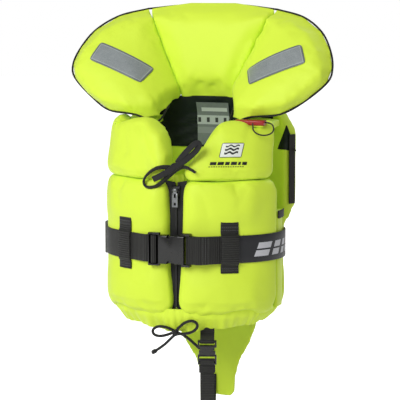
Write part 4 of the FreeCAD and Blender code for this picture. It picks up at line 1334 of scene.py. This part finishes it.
@dataclass
class InnerBack:
    """The dark lining and the care label on the wearer's side of the back."""

    wardrobe: Wardrobe

    def sheet(self, name: str, node: str, turn: tuple[float, float], heights: tuple[float, float], above: float,
              wall: float, crumple: float) -> Object:
        """Lays a sheet on the inner face of the back pad.

        Args:
            name: name of the piece.
            node: the node that it stands for.
            turn: first and last angle round the back.
            heights: its lower and upper edge.
            above: its clearance from the pad.
            wall: its thickness.
            crumple: depth of its soft folds.

        Returns:
            The sheet.
        """
        def place(u: float, v: float) -> Vector:
            """Point of the surface for shares along and across."""
            z = heights[0] + (heights[1] - heights[0]) * (v + 1) / 2
            angle = turn[0] + (turn[1] - turn[0]) * u
            fold = crumple * (0.5 + 0.5 * math.sin(23 * u + 5 * v) * math.cos(9 * v + 7 * u))
            return TORSO.back_point(angle, TORSO.back_face(z) + above + fold, z)

        start, end = place(0, 0), place(1, 0)
        width, height = (end - start).length, heights[1] - heights[0]
        piece = Bench.grid(name, 60, 24, place, lambda u, v: (u * width, (v + 1) / 2 * height))
        Bench.thicken(piece, wall)
        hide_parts(node)
        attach(piece, "jacket")
        return piece

    def facing(self, back_pad: Object, side: str, sign: float) -> None:
        """Sews the dark three-cornered facing on the back pad at the top of an armhole.

        Args:
            back_pad: what it is sewn to.
            side: left or right.
            sign: -1 for the wearer's right.
        """
        top, inner, outer = (Vector((sign * x, y, z)) for x, y, z in (
            (0.1245, 0.035, -0.017), (0.1120, 0.030, -0.0523), (0.1365, 0.046, -0.0565)))
        out = Vector((sign * 0.32, -0.94, 0.12)).normalized()
        tree = BVHTree.FromObject(back_pad, bpy.context.evaluated_depsgraph_get())

        def place(u: float, v: float) -> Vector:
            """Point of the surface for shares along and across."""
            low = inner.lerp(outer, (v + 1) / 2)
            spot = low.lerp(top, u * 0.97)
            hit = tree.ray_cast(spot + out * 0.05, -out)[0]
            return (hit if hit is not None else spot) + out * 0.0007

        piece = Bench.grid(f"armhole_facing_{side}", 18, 10, place, lambda u, v: (u * 0.036, v * 0.0125))
        Bench.apply(piece, "SMOOTH", factor=0.5, iterations=3)
        Bench.thicken(piece, 0.0007)
        Bench.wear(piece, self.wardrobe.lining)
        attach(piece, "jacket")

    def build(self, back_pad: Object) -> None:
        """Makes the lining, the label and the armholes' facings.

        Args:
            back_pad: the padded back that they are sewn to.
        """
        for side, sign in (("left", 1.0), ("right", -1.0)):
            self.facing(back_pad, side, sign)
        lining = self.sheet("inner_lining", "back_lining", (118, 242), (-0.056, 0.0185), 0.0012, 0.0008, 0.0016)
        Bench.wear(lining, self.wardrobe.lining)
        label = self.sheet("sewn_label", "care_label", (192, 162), (-0.053, 0.009), 0.0036, 0.0005, 0.0003)
        Bench.wear(label, self.wardrobe.label)


@dataclass
class Collar:
    """Head-support collar: a centre pad and two wings, piped, with reflective patches."""

    shop: Upholstery
    wardrobe: Wardrobe
    piping: float = 0.0028
    thickness: float = 0.034
    centre: tuple[tuple[tuple[float, float, float], tuple[float, float, float]], ...] = (
        ((-40, 57.2, 15.2), (-97, 74, 141)), ((-14, 62, 15.2), (-34, 79, 150)), ((14, 62, 15.2), (34, 79, 150)),
        ((40, 57.2, 15.2), (97, 74, 141)))
    wing: tuple[tuple[tuple[float, float, float], tuple[float, float, float]], ...] = (
        ((40, 57.2, 15.2), (97, 74, 141)), ((50, 26, 7.5), (138, 64, 131)), ((56, -8, -13.5), (169, 48, 111)),
        ((86, -17, -3.5), (186, 32, 86)), ((128, -9, 1), (193, 18, 62)), ((158, 2, 17), (187, 11, 42)))

    def seam(self, sections: Sequence[Any], sign: float = 1.0) -> list[Vector]:
        """Line of the piped seam, clear of the pads by the piping's own radius.

        Args:
            sections: pairs of inner and outer seam points, in millimetres.
            sign: -1 for the wearer's right.

        Returns:
            The seam's points.
        """
        reach = (self.piping / 2 + 0.0006) * 1000
        route = []
        for inner, outer in sections:
            along = (Vector(outer) - Vector(inner)).normalized()
            route.append(Vector(outer) + along * reach)
        if len(sections) > 4:
            for inner, outer in reversed(sections[1:]):
                along = (Vector(outer) - Vector(inner)).normalized()
                route.append(Vector(inner) - along * reach)
        return [Vector((p.x * sign, p.y, p.z)) / 1000 for p in route]

    def pipe(self, name: str, node: str, route: list[Vector], body: str) -> None:
        """Sews the piping along a seam.

        Args:
            name: name of the piece.
            node: the node it stands for.
            route: the seam's points.
            body: what it rides on.
        """
        path = curve_through(route, 0.006)
        curve = bpy.data.curves.new(name, "CURVE")
        curve.dimensions = "3D"
        curve.bevel_depth, curve.bevel_resolution, curve.use_fill_caps = self.piping / 2, 3, True
        spline = curve.splines.new("POLY")
        spline.points.add(len(path) - 1)
        for point, place in zip(spline.points, path):
            point.co = (*place, 1.0)
        piece = bpy.data.objects.new(name, curve)
        bpy.context.scene.collection.objects.link(piece)
        piece.data.materials.append(self.wardrobe.piping)
        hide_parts(node)
        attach(piece, body)

    def pad(self, nodes: Sequence[str], name: str, body: str, seam: list[Vector], folds: list[list[Vector]],
            creases: Iterable[tuple[list[Any], float, float]], edges: Iterable[list[Vector]] = ()) -> Object:
        """Makes one pad of the collar.

        Args:
            nodes: the nodes it stands for, the cover first.
            name: name of the piece.
            body: what it rides on.
            seam: its piped seam.
            folds: the lines along which it is folded to its neighbours.
            creases: lines pressed into it, in millimetres, with depth and half width in metres.
            edges: further seams that its edge is drawn to.

        Returns:
            The pad.
        """
        piece = self.shop.pad(nodes[0], name, 0.0048)

        def share(co: np.ndarray, normals: np.ndarray) -> np.ndarray:
            """How far each point may be filled."""
            kept = smooth_step(0.002, 0.030, distance_to(co, seam))
            for fold in folds:
                kept = kept * (0.12 + 0.88 * smooth_step(0.004, 0.034, distance_to(co, fold)))
            return kept

        self.shop.fill(piece, 4.0, 0.009, share, 0.03)
        Upholstery.finish(piece, self.wardrobe.fabric)
        self.shop.rumple(piece, 0.0011, 0.060, len(nodes[0]) + len(seam) * 2.3)
        for line, depth, width in creases:
            self.shop.crease(piece, [metres(p) for p in line], depth, width)
        for line in [seam, *edges]:
            self.shop.draw_to(piece, line)
        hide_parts(*nodes)
        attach(piece, body)
        return piece

    def patch(self, wing: Object, sign: float, body: str, node: str) -> None:
        """Bonds a reflective patch to a wing's visible face.

        Args:
            wing: the wing's pad.
            sign: -1 for the wearer's right.
            body: what it rides on.
            node: the node it stands for.
        """
        low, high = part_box(node)
        middle = (Vector(low) + Vector(high)) / 2
        long = Vector((0.93 * sign, 0.16, 0.31)).normalized()
        short = Vector((0.13 * sign, -0.48, -0.86))
        short = (short - long * short.dot(long)).normalized()
        out = short.cross(long) * sign
        out = out if out.y < 0 else -out
        length, width, corner = 0.088, 0.034, 0.006
        tree = BVHTree.FromObject(wing, bpy.context.evaluated_depsgraph_get())

        def plan(u: float, v: float) -> tuple[float, float]:
            """Point of the flat shape for shares along and across."""
            x, y = (u - 0.5) * length, v * width / 2
            dx, dy = abs(x) - (length / 2 - corner), abs(y) - (width / 2 - corner)
            if dx > 0 and dy > 0:
                scale = max(dx, dy) / math.hypot(dx, dy)
                x = math.copysign(length / 2 - corner + dx * scale, x)
                y = math.copysign(width / 2 - corner + dy * scale, y)
            return x, y

        def place(u: float, v: float) -> Vector:
            """Point of the surface for shares along and across."""
            x, y = plan(u, v)
            spot = middle + long * x + short * y
            hit = tree.ray_cast(spot + out * 0.05, -out)[0]
            return (hit if hit is not None else spot) + out * 0.0009

        piece = Bench.grid(node + "_film", 44, 18, place, plan)
        Bench.apply(piece, "SMOOTH", factor=0.5, iterations=6)
        Bench.thicken(piece, 0.0012, 0.0003)
        Bench.wear(piece, self.wardrobe.reflective)
        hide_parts(node)
        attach(piece, body)

    def build(self) -> None:
        """Makes the collar."""
        middle_seam = self.seam(self.centre)
        fold = {sign: [Vector((p[0] * sign, p[1], p[2])) / 1000 for p in self.centre[-1]] for sign in (1.0, -1.0)}
        wrinkles = [([(-20, 45, 22), (-8, 50, 38)], 0.0020, 0.005), ([(2, 44, 21), (8, 52, 34)], 0.0020, 0.004),
                    ([(20, 44, 22), (22, 52, 44)], 0.0018, 0.005), ([(-34, 44, 20), (-30, 50, 50)], 0.0022, 0.006),
                    ([(36, 44, 22), (48, 52, 70), (66, 62, 108)], 0.0030, 0.009)]
        self.pad(("collar_centre_cover", "collar_centre_foam"), "collar_centre", "collar_body", middle_seam,
                 [fold[1.0], fold[-1.0]], wrinkles, [[Vector(inner) / 1000 for inner, _ in self.centre]])
        tucked = [p + Vector((0, 0.005, -0.003)) if 0 < k < len(middle_seam) - 1 else p
                  for k, p in enumerate(middle_seam)]
        self.pipe("piping_centre", "collar_piping_centre", tucked, "collar_body")
        for side, sign in (("left", 1.0), ("right", -1.0)):
            seam = self.seam(self.wing, sign)
            creases = [([(sign * 60, 8, 0), (sign * 78, 22, 34), (sign * 84, 36, 60)], 0.0020, 0.010),
                       ([(sign * 150, 0, 22), (sign * 128, 8, 40)], 0.0016, 0.008),
                       ([(sign * 100, -10, 2), (sign * 104, 4, 20)], 0.0014, 0.006)]
            wing = self.pad((f"collar_wing_cover_{side}", f"collar_wing_foam_{side}"), f"collar_wing_{side}",
                            f"wing_{side}_body", seam, [fold[sign]], creases)
            self.pipe(f"piping_{side}", f"collar_piping_{side}", seam, f"wing_{side}_body")
            self.patch(wing, sign, f"wing_{side}_body", f"reflective_patch_{side}")


@dataclass
class WaistBelt:
    """Waist webbing, its keepers and adjuster, and the side-release buckle."""

    shop: Upholstery
    wardrobe: Wardrobe
    z: float = -0.1825
    width: float = 0.038
    webbing: float = 0.002
    bridge: float = 26.0
    sewn: float = 32.0
    adjuster: float = -82.0
    keeper_x: float = 0.076

    def hoop(self, name: str, node: str, start: float, end: float, depth: float, material: Material,
             slot: Slot, thickness: float = 0.002, origin: float = 0.0) -> Object:
        """Lays webbing round the torso.

        Args:
            name: name of the piece.
            node: the node it stands for.
            start: first angle.
            end: last angle.
            depth: depth of its middle; negative is outside the oval.
            material: its finish.
            slot: its material slot, which is not used.
            thickness: its thickness.
            origin: length at which its UV map begins.

        Returns:
            The webbing.
        """
        count = max(8, int(abs(end - start) / 2))
        stations = [(TORSO.point(start + (end - start) * k / count, depth, self.z), Vector((0, 0, 1)))
                    for k in range(count + 1)]
        piece = Ribbon(name, self.width, thickness, stations).build(material, origin)
        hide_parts(node)
        self.settle(piece, slot)
        return piece

    @staticmethod
    def settle(piece: Object, slot: Slot, body: str = "jacket") -> None:
        """Puts a piece on a body."""
        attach(piece, body)

    def flat_run(self, name: str, points: Sequence[tuple[float, float]], material: Material,
                 thickness: float = 0.002, origin: float = 0.0) -> Object:
        """Webbing along a path seen from above, its width upright.

        Args:
            name: name of the piece.
            points: X and Y of the path, in millimetres.
            material: its finish.
            thickness: its thickness.
            origin: length at which its UV map begins.

        Returns:
            The webbing.
        """
        path = curve_through([(x / 1000, y / 1000, self.z) for x, y in points], 0.0012)
        return Ribbon(name, self.width, thickness, [(p, Vector((0, 0, 1))) for p in path]).build(material, origin)

    def keeper(self, name: str, node: str, angle: float, under: float) -> None:
        """Sews an upright keeper over the belt.

        Args:
            name: name of the piece.
            node: the node it stands for.
            angle: its place round the torso.
            under: thickness of what passes under it.
        """
        height, lift, half = 0.072, 0.003, 0.0125
        middle, out = TORSO.point(angle, 0.0, self.z + lift), TORSO.normal(angle)
        across = Vector((-out.y, out.x, 0))
        high = 0.0003 + under + 0.0003 + self.webbing / 2
        low = 0.0003 + self.webbing / 2
        profile = [(-height / 2, low), (-height / 2 + 0.008, low), (-self.width / 2 - lift - 0.003, low + 0.0004),
                   (-self.width / 2 - lift + 0.001, high), (-0.006, high + 0.0004), (0.006, high + 0.0004),
                   (self.width / 2 - lift - 0.001, high), (self.width / 2 - lift + 0.003, low + 0.0004),
                   (height / 2 - 0.008, low), (height / 2, low)]
        path = curve_through([middle + out * r + Vector((0, 0, h)) for h, r in profile], 0.0012)
        radius = 0.17
        stations = [(p, across) for p in path]
        piece = Ribbon(name, 2 * half, self.webbing, stations).build(self.wardrobe.keeper)
        co, _ = Upholstery.read(piece)
        side = (co - np.array(middle)) @ np.array(across)
        co -= np.outer(side ** 2 / (2 * radius), np.array(out))
        Upholstery.write(piece, co)
        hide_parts(node)
        self.settle(piece, Slot.WEBBING)

    def build(self) -> None:
        """Makes the belt and its buckle."""
        gap, web = 0.0003, self.webbing
        self.hoop("belt_printed", "waist_belt_printed", self.sewn + 0.2, 360 + self.adjuster - 5.0, -gap - web / 2,
                  self.wardrobe.printed, Slot.PRINTED)
        self.hoop("belt_right", "waist_webbing_right", self.adjuster + 5.0, -self.bridge - 0.2, -gap - web / 2,
                  self.wardrobe.webbing, Slot.WEBBING)
        self.socket_webbing()
        self.plug_webbing()
        slide = self.shop.refine("waist_adjuster", "adjuster_slide", 0.0009, self.wardrobe.slide, 3)
        self.settle(slide, Slot.BUCKLE)
        turn = math.degrees(math.asin(self.keeper_x / (TORSO.half_depth + TORSO.wide_centre)))
        self.keeper("keeper_left", "belt_keeper_left", turn, 0.0043)
        self.keeper("keeper_right", "belt_keeper_right", -turn, 0.002)
        names = {"waist_buckle_socket": "jacket", "waist_buckle_plug": "waist_plug_body",
                 "waist_latch_arm_upper": "waist_arm_upper_body", "waist_latch_arm_lower": "waist_arm_lower_body"}
        for node, body in names.items():
            piece = self.shop.refine(node, node.replace("waist_", "") + "_moulding", 0.0008, self.wardrobe.buckle, 3)
            self.settle(piece, Slot.BUCKLE, body)

    def socket_webbing(self) -> None:
        """Doubles the webbing round the socket's bar and sews it to the belt."""
        outer = [TORSO.point(a, -0.0036, 0) * 1000 for a in (31.8, 29.6, 27.4, 25.6)]
        inner = [TORSO.point(a, -0.0013, 0) * 1000 for a in (25.6, 27.4, 29.6, 31.8)]
        path = [(p.x, p.y) for p in outer] + [(44, -105.9), (33.5, -105.9), (28, -105.6), (24.2, -104.8),
                                              (22.6, -102.0), (24.2, -99.2), (28, -98.4), (34, -98.2), (44, -97.6)]
        path += [(p.x, p.y) for p in inner]
        piece = self.flat_run("socket_webbing", path, self.wardrobe.sewn, 0.0019, -0.002)
        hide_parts("waist_webbing_socket")
        self.settle(piece, Slot.WEBBING)

    def plug_webbing(self) -> None:
        """Weaves the webbing through the plug's bars."""
        start = [TORSO.point(-a, -0.0013, 0) * 1000 for a in (26.0, 25.0)]
        path = [(p.x, p.y) for p in start]
        path += [(-40, -97.9), (-34.5, -98.0), (-31, -98.6), (-29.4, -102), (-27.6, -105.6), (-24.5, -106.3),
                 (-22, -105.6), (-20.6, -102), (-21.6, -98.2), (-25, -96.6), (-30, -95.8), (-38, -95.4)]
        piece = self.flat_run("plug_webbing", path, self.wardrobe.webbing, 0.0016)
        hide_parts("waist_webbing_plug")
        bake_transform(piece)


@dataclass
class CrotchStrap:
    """Crotch webbing with its small buckle, and the flap that it comes back to."""

    shop: Upholstery
    wardrobe: Wardrobe
    origin: tuple[float, float, float] = (0.0455, -0.082, -0.330)
    turn: float = 17.5

    @property
    def across(self) -> Vector:
        """Direction across the strap."""
        turn = math.radians(self.turn)
        return Vector((math.cos(turn), math.sin(turn), 0))

    def run(self, name: str, points: Sequence[tuple[float, float]], width: float, material: Material,
            thickness: float = 0.0016) -> Object:
        """Webbing along a path in the strap's own plane.

        Args:
            name: name of the piece.
            points: (backwards, up) from the buckle's middle, in millimetres.
            width: its width.
            material: its finish.
            thickness: its thickness.

        Returns:
            The webbing.
        """
        back = Vector((-self.across.y, self.across.x, 0))
        path = curve_through([Vector(self.origin) + back * (b / 1000) + Vector((0, 0, u / 1000)) for b, u in points],
                             0.0014)
        piece = Ribbon(name, width, thickness, [(p, self.across) for p in path], 0.0004).build(material)
        return piece

    def build(self) -> None:
        """Makes the tab, the strap, the buckle and the flap."""
        tab = self.run("hem_tab", [(11.8, 42), (11.8, 30), (8.6, 25), (3.4, 22.6), (0.6, 21.6), (-2.0, 20.8),
                                   (-2.6, 18.6), (-1.6, 16.4), (0.8, 15.6), (2.6, 17.2), (3.2, 20.4)],
                       0.0196, self.wardrobe.crotch)
        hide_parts("crotch_tab")
        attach(tab, "jacket")
        strap = self.run("under_strap", [(2.0, -15.5), (0.8, -13.2), (-1.2, -12.2), (-3.0, -10.0), (-2.8, -7.4),
                                         (-0.4, -6.2), (2.4, -7.4), (3.4, -12.0), (3.6, -20.0), (4.6, -30.0),
                                         (8.0, -48.0), (15.0, -68.0), (36.0, -94.0), (60.0, -104.0), (85.0, -107.5),
                                         (110.0, -107.2), (135.0, -104.5), (156.0, -97.0), (166.0, -84.0),
                                         (168.4, -64.0)],
                         0.0196, self.wardrobe.crotch)
        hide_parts("crotch_strap")
        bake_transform(strap)
        tail = self.run("strap_tail", [(1.6, -15.0), (1.3, -19.0), (1.2, -26.0)], 0.0225, self.wardrobe.crotch, 0.0022)
        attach(tail, "crotch_plug_body")
        names = {"crotch_buckle_socket": "jacket", "crotch_buckle_plug": "crotch_plug_body",
                 "crotch_latch_arm_left": "crotch_arm_left_body", "crotch_latch_arm_right": "crotch_arm_right_body"}
        for node, body in names.items():
            piece = self.shop.refine(node, node + "_moulding", 0.0006, self.wardrobe.buckle, 3)
            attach(piece, body)
        self.flap()

    def flap(self) -> None:
        """Makes the padded flap sewn to the hem at the back."""
        flap = self.shop.copy("crotch_flap", "seat_flap")
        Bench.apply(flap, "REMESH", mode="VOXEL", voxel_size=0.0032)
        Upholstery.finish(flap, self.wardrobe.fabric)
        for line, depth, width in [([(-12, 90, -419), (26, 90, -419)], 0.0012, 0.0022),
                                   ([(-20, 90, -300), (-8, 90, -345), (-6, 90, -380)], 0.0014, 0.010),
                                   ([(40, 90, -300), (24, 90, -340)], 0.0016, 0.009)]:
            self.shop.crease(flap, [[c / 1000 for c in p] for p in line], depth, width)
        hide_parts("crotch_flap")
        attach(flap, "jacket")


@dataclass
class Hem:
    """Gathered casing under the pads, its ends lapped at the front."""

    wardrobe: Wardrobe
    wall: float = 0.0026
    lap: float = 0.5
    cloth: float = 0.68
    half_height: float = 0.012
    faces: tuple[int, int] = (720, 12)
    profile: tuple[tuple[float, float], ...] = ((0.0085, -0.2680), (0.0085, -0.2790), (0.0105, -0.2850),
                                                (0.0130, -0.2910), (0.0150, -0.2965), (0.0160, -0.3000))

    def build(self) -> None:
        """Makes the gathered band."""
        def place(u: float, v: float) -> Vector:
            """Point of the surface for shares along and across."""
            share = (1 - v) / 2 * (len(self.profile) - 1)
            k = min(int(share), len(self.profile) - 2)
            t = share - k
            depth = self.profile[k][0] * (1 - t) + self.profile[k + 1][0] * t
            z = self.profile[k][1] * (1 - t) + self.profile[k + 1][1] * t
            angle = -self.lap + (360.0 + 2 * self.lap) * u
            turn = math.radians(angle)
            pull = (1 - v) / 2
            side = math.sin(turn) ** 2
            wave = math.sin(turn * 61 + 2.6 * math.sin(turn * 5) + 1.4 * math.sin(turn * 11))
            slow = math.sin(turn * 17 + 2.8 * math.sin(turn * 3))
            depth += (0.0011 * wave + 0.0015 * slow) * (0.20 + pull) + 0.0110 * side * pull
            front = max(math.cos(turn), 0.0) ** 24
            z += 0.0007 * slow * pull + (0.0045 * (1 - front) + 0.0045 * side) * pull
            depth += 0.0030 * (1 - front) * pull
            return TORSO.point(angle, depth, z)

        piece = Bench.grid("hem_gathers", *self.faces, place,
                           lambda u, v: (u * self.cloth, v * self.half_height))
        Bench.thicken(piece, self.wall)
        Bench.only(piece)
        bpy.ops.object.shade_smooth()
        Bench.wear(piece, self.wardrobe.fabric)
        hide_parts("hem_casing")
        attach(piece, "jacket")


@dataclass
class Zip:
    """Moulded zip in the valley between the front pads."""

    shop: Upholstery
    wardrobe: Wardrobe
    y: float = -0.0795
    top: float = -0.092
    bottom: float = -0.276

    def build(self) -> None:
        """Makes the tapes, and dresses the teeth, the slider and its pull."""
        for side, sign in (("left", 1.0), ("right", -1.0)):
            def place(u: float, v: float, sign: float = sign) -> Vector:
                """Point of the surface for shares along and across."""
                z = self.top + (self.bottom - self.top) * u
                outer = 0.0126 - 0.0042 * u
                flare = max(0.0, 1 - u / 0.06)
                x = 0.0016 + (outer + 0.004 * flare - 0.0016) * (v + 1) / 2
                return Vector((sign * x, self.y - 0.0015 * flare * (v + 1), z + 0.003 * flare * (v + 1) / 2))

            tape = Bench.grid(f"zip_tape_{side}", 40, 6, place, lambda u, v: (u * 0.184, v * 0.006))
            Bench.thicken(tape, 0.0009, 0.0002)
            Bench.wear(tape, self.wardrobe.tape)
            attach(tape, "jacket")
        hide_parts("zip_tapes")
        Bench.wear(self.shop.nodes["zip_teeth"], self.wardrobe.moulded)
        slider = self.shop.refine("zip_slider", "slider_casting", 0.0004, self.wardrobe.buckle)
        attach(slider, "zip_slider_body")
        pull = self.shop.refine("zip_pull", "pull_tab", 0.0005, self.wardrobe.metal)
        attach(pull, "zip_pull_body")
        stops = self.shop.refine("zip_stops", "zip_ends", 0.0004, self.wardrobe.moulded)
        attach(stops, "jacket")
        guard = self.shop.copy("zip_guard", "zip_fold")
        Bench.apply(guard, "REMESH", mode="VOXEL", voxel_size=0.0012)
        Bench.apply(guard, "SMOOTH", factor=0.5, iterations=3)
        co, _ = Upholstery.read(guard)
        top = smooth_step(-0.100, -0.078, co[:, 2])
        co[:, 1] -= top * (0.0035 * np.cos(co[:, 0] * 520.0) + 0.0025)
        Upholstery.write(guard, co)
        Bench.only(guard)
        bpy.ops.object.shade_smooth()
        Bench.wear(guard, self.wardrobe.fabric)
        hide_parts("zip_guard")
        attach(guard, "jacket")


@dataclass
class Bindings:
    """Black binding along the armholes."""

    shop: Upholstery
    wardrobe: Wardrobe

    def build(self) -> None:
        """Makes the bindings."""
        piece = self.shop.copy("armhole_bindings", "armhole_tape")
        Bench.apply(piece, "REMESH", mode="VOXEL", voxel_size=0.0011)
        Bench.apply(piece, "SMOOTH", factor=0.5, iterations=3)
        co, _ = Upholstery.read(piece)
        Upholstery.write(piece, co + np.stack([np.sign(co[:, 0]) * 0.0008, np.full(len(co), -0.0014),
                                               np.zeros(len(co))], axis=1))
        Bench.only(piece)
        bpy.ops.object.shade_smooth()
        bpy.ops.object.mode_set(mode="EDIT")
        bpy.ops.mesh.select_all(action="SELECT")
        bpy.ops.uv.cube_project(cube_size=1.0)
        bpy.ops.object.mode_set(mode="OBJECT")
        Bench.wear(piece, self.wardrobe.binding)
        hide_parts("armhole_bindings")
        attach(piece, "jacket")


@dataclass
class Badge:
    """Generic printed badge on the wearer's left chest, over two rows of dashes."""

    wardrobe: Wardrobe
    middle: tuple[float, float, float] = (0.079, -0.074, -0.045)
    facing: tuple[float, float, float] = (0.42, -0.88, 0.20)
    half: tuple[float, float] = (0.0155, 0.0102)
    slant: float = 0.28
    corner: float = 0.0022
    dashes: tuple[tuple[float, float], ...] = ((-0.0255, 0.0085), (-0.0150, 0.0085), (-0.0045, 0.0060),
                                               (0.0035, 0.0080), (0.0135, 0.0035), (0.0190, 0.0065))
    fine_dashes: int = 15

    def build(self, pad: Object) -> None:
        """Prints the badge on the pad.

        Args:
            pad: the upper left pad.
        """
        tree = BVHTree.FromObject(pad, bpy.context.evaluated_depsgraph_get())
        out = Vector(self.facing).normalized()
        right = Vector((0, 0, 1)).cross(out).normalized()
        up = out.cross(right).normalized()
        wide, tall = self.half

        def plan(u: float, v: float) -> tuple[float, float]:
            """Point of the flat shape for shares along and across."""
            x, y = (u * 2 - 1) * wide, v * tall
            dx, dy = abs(x) - (wide - self.corner), abs(y) - (tall - self.corner)
            if dx > 0 and dy > 0:
                scale = max(dx, dy) / math.hypot(dx, dy)
                x = math.copysign(wide - self.corner + dx * scale, x)
                y = math.copysign(tall - self.corner + dy * scale, y)
            return x, y

        def lay(x: float, y: float) -> Vector:
            """Lays a flat shape on the pad."""
            spot = Vector(self.middle) + right * (x + y * self.slant) + up * y
            hit = tree.ray_cast(spot + out * 0.05, -out)[0]
            return (hit if hit is not None else spot) + out * 0.00035

        badge = Bench.grid("chest_badge", 28, 20, lambda u, v: lay(*plan(u, v)), plan)
        Bench.thicken(badge, 0.0002)
        Bench.wear(badge, self.wardrobe.badge)
        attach(badge, "jacket")
        row = [(start, width, -0.0183, 0.0021) for start, width in self.dashes]
        pitch = 0.0500 / self.fine_dashes
        row += [(-0.0265 + pitch * k, pitch * 0.62, -0.0228, 0.0005) for k in range(self.fine_dashes)]
        pieces = []
        for k, (start, width, low, half) in enumerate(row):
            dash = Bench.grid(f"chest_dash_{k}", 6, 3, lambda u, v, s=start, w=width, y=low, h=half: lay(
                s + w * u, y + v * h), lambda u, v: (0.02, 0.02))
            Bench.thicken(dash, 0.0002)
            pieces.append(dash)
        bpy.ops.object.select_all(action="DESELECT")
        for dash in pieces:
            dash.select_set(True)
        bpy.context.view_layer.objects.active = pieces[0]
        bpy.ops.object.join()
        joined = bpy.context.object
        joined.name = "chest_dashes"
        Bench.wear(joined, self.wardrobe.moulded)
        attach(joined, "jacket")


@dataclass
class Cords:
    """Neck tie, hem drawcord, and the whistle on its lanyard."""

    shop: Upholstery
    wardrobe: Wardrobe
    tie_left: tuple[tuple[float, float, float], ...] = (
        (9.0, -100.8, -63.0), (16.0, -101.3, -53.5), (26.0, -101.3, -43.0), (34.5, -100.8, -35.5),
        (40.5, -100.3, -34.5), (40.0, -100.3, -41.0), (31.0, -99.8, -50.5), (19.0, -101.3, -60.0),
        (6.0, -103.3, -69.0), (-6.5, -103.8, -76.5), (-17.0, -102.8, -82.5), (-26.0, -101.3, -86.5))
    tie_right: tuple[tuple[float, float, float], ...] = (
        (-0.5, -96.8, -70.5), (-12.0, -98.3, -69.0), (-24.0, -98.3, -71.5), (-35.0, -96.8, -78.5),
        (-42.5, -96.3, -88.0), (-41.5, -96.3, -96.5), (-33.0, -96.3, -99.5), (-21.0, -96.8, -96.0),
        (-9.5, -96.3, -85.5), (2.5, -94.6, -74.5), (12.5, -95.8, -68.5), (23.5, -98.3, -69.0),
        (34.0, -97.8, -75.5))
    hem_left: tuple[tuple[float, float, float], ...] = (
        (4.5, -90.5, -296.0), (11.0, -91.0, -289.0), (19.0, -91.0, -283.8), (27.5, -90.5, -282.0),
        (34.0, -89.5, -286.0), (33.0, -89.0, -293.5), (24.5, -89.5, -299.5), (13.0, -90.5, -301.6),
        (2.0, -91.5, -302.5), (-6.5, -91.5, -311.0), (-15.0, -91.0, -319.5), (-26.0, -90.5, -327.0))
    hem_right: tuple[tuple[float, float, float], ...] = (
        (-2.0, -86.0, -298.5), (-9.0, -88.0, -295.0), (-17.5, -89.0, -293.0), (-26.5, -89.0, -294.0),
        (-33.0, -88.0, -299.0), (-32.0, -87.5, -305.5), (-23.5, -87.5, -308.0), (-12.0, -86.5, -305.5),
        (-1.0, -86.0, -300.5), (9.0, -86.0, -302.5), (17.5, -82.5, -308.5), (24.0, -76.5, -316.5),
        (30.5, -70.0, -325.0))
    lanyard: tuple[tuple[float, float, float], ...] = (
        (112.3, -30.0, -10.4), (120.5, -30.0, -10.4), (126.0, -33.0, -17.0), (125.0, -37.5, -24.0),
        (116.5, -41.5, -27.5), (107.5, -47.0, -26.0), (101.5, -51.5, -20.5), (100.0, -48.0, -14.5),
        (98.0, -42.5, -11.2))

    def build(self) -> None:
        """Makes the cords, the knots, the ball and the whistle."""
        tie_knot = Knot("tie_knot", "neck_tie_knot", (4.8, -98.8, -68.0), 6.9, 0.0042, 3).build(self.wardrobe.tie)
        hem_knot = Knot("hem_knot", "hem_cord_knot", (1.1, -88.3, -300.4), 5.4, 0.0032, 3).build(self.wardrobe.braid)
        ball = Knot("hem_ball", "hem_cord_ball", (-29.4, -90.3, -329.4), 4.6, 0.0026, 4).build(self.wardrobe.braid)
        Cord("neck_tie_a", "neck_tie_left", list(self.tie_left), 0.0084, 0.1293, "bare", [tie_knot], 0.0034,
             (0,) * 4 + (25, 40, 25) + (0,) * 5).build(self.wardrobe.tie)
        Cord("neck_tie_b", "neck_tie_right", list(self.tie_right), 0.0072, 0.1439, "bare", [tie_knot], 0.0034,
             (20, 50, 65, 70, 70, 60, 60, 60, 50, 40, 40, 50, 60)).build(self.wardrobe.tie)
        Cord("hem_cord_a", "hem_cord_left", list(self.hem_left), 0.004, 0.1115, "knot", [hem_knot, ball]).build(
            self.wardrobe.braid)
        Cord("hem_cord_b", "hem_cord_right", list(self.hem_right), 0.004, 0.1168, "bare", [hem_knot]).build(
            self.wardrobe.braid)
        whistle = self.shop.refine("whistle", "whistle_moulding", 0.0005, self.wardrobe.whistle)
        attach(whistle, "whistle_body")
        Cord("whistle_lanyard", "whistle_cord", list(self.lanyard), 0.002, 0.0668, "bare").build(self.wardrobe.lanyard)


def main() -> None:
    """Builds the jacket on its frame, and logs its progress."""
    logging.basicConfig(level=logging.INFO, format="%(name)s: %(message)s")
    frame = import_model()
    wardrobe = Wardrobe()
    shop = Upholstery(frame["nodes"])
    Studio().build()
    Cords(shop, wardrobe).build()
    log.info("cords made")
    pads = TorsoPads(shop, wardrobe).build()
    log.info("%d torso pads made", len(pads))
    Badge(wardrobe).build(next(p for p in pads if p.name == "upper_pad_left"))
    InnerBack(wardrobe).build(next(p for p in pads if p.name == "back_pad"))
    Collar(shop, wardrobe).build()
    log.info("collar made")
    WaistBelt(shop, wardrobe).build()
    CrotchStrap(shop, wardrobe).build()
    Hem(wardrobe).build()
    Zip(shop, wardrobe).build()
    Bindings(shop, wardrobe).build()
    for name, node in frame["nodes"].items():
        if not node.data.materials or node.data.materials[0] is None:
            Bench.wear(node, wardrobe.foam)


if __name__ == "__main__":
    main()
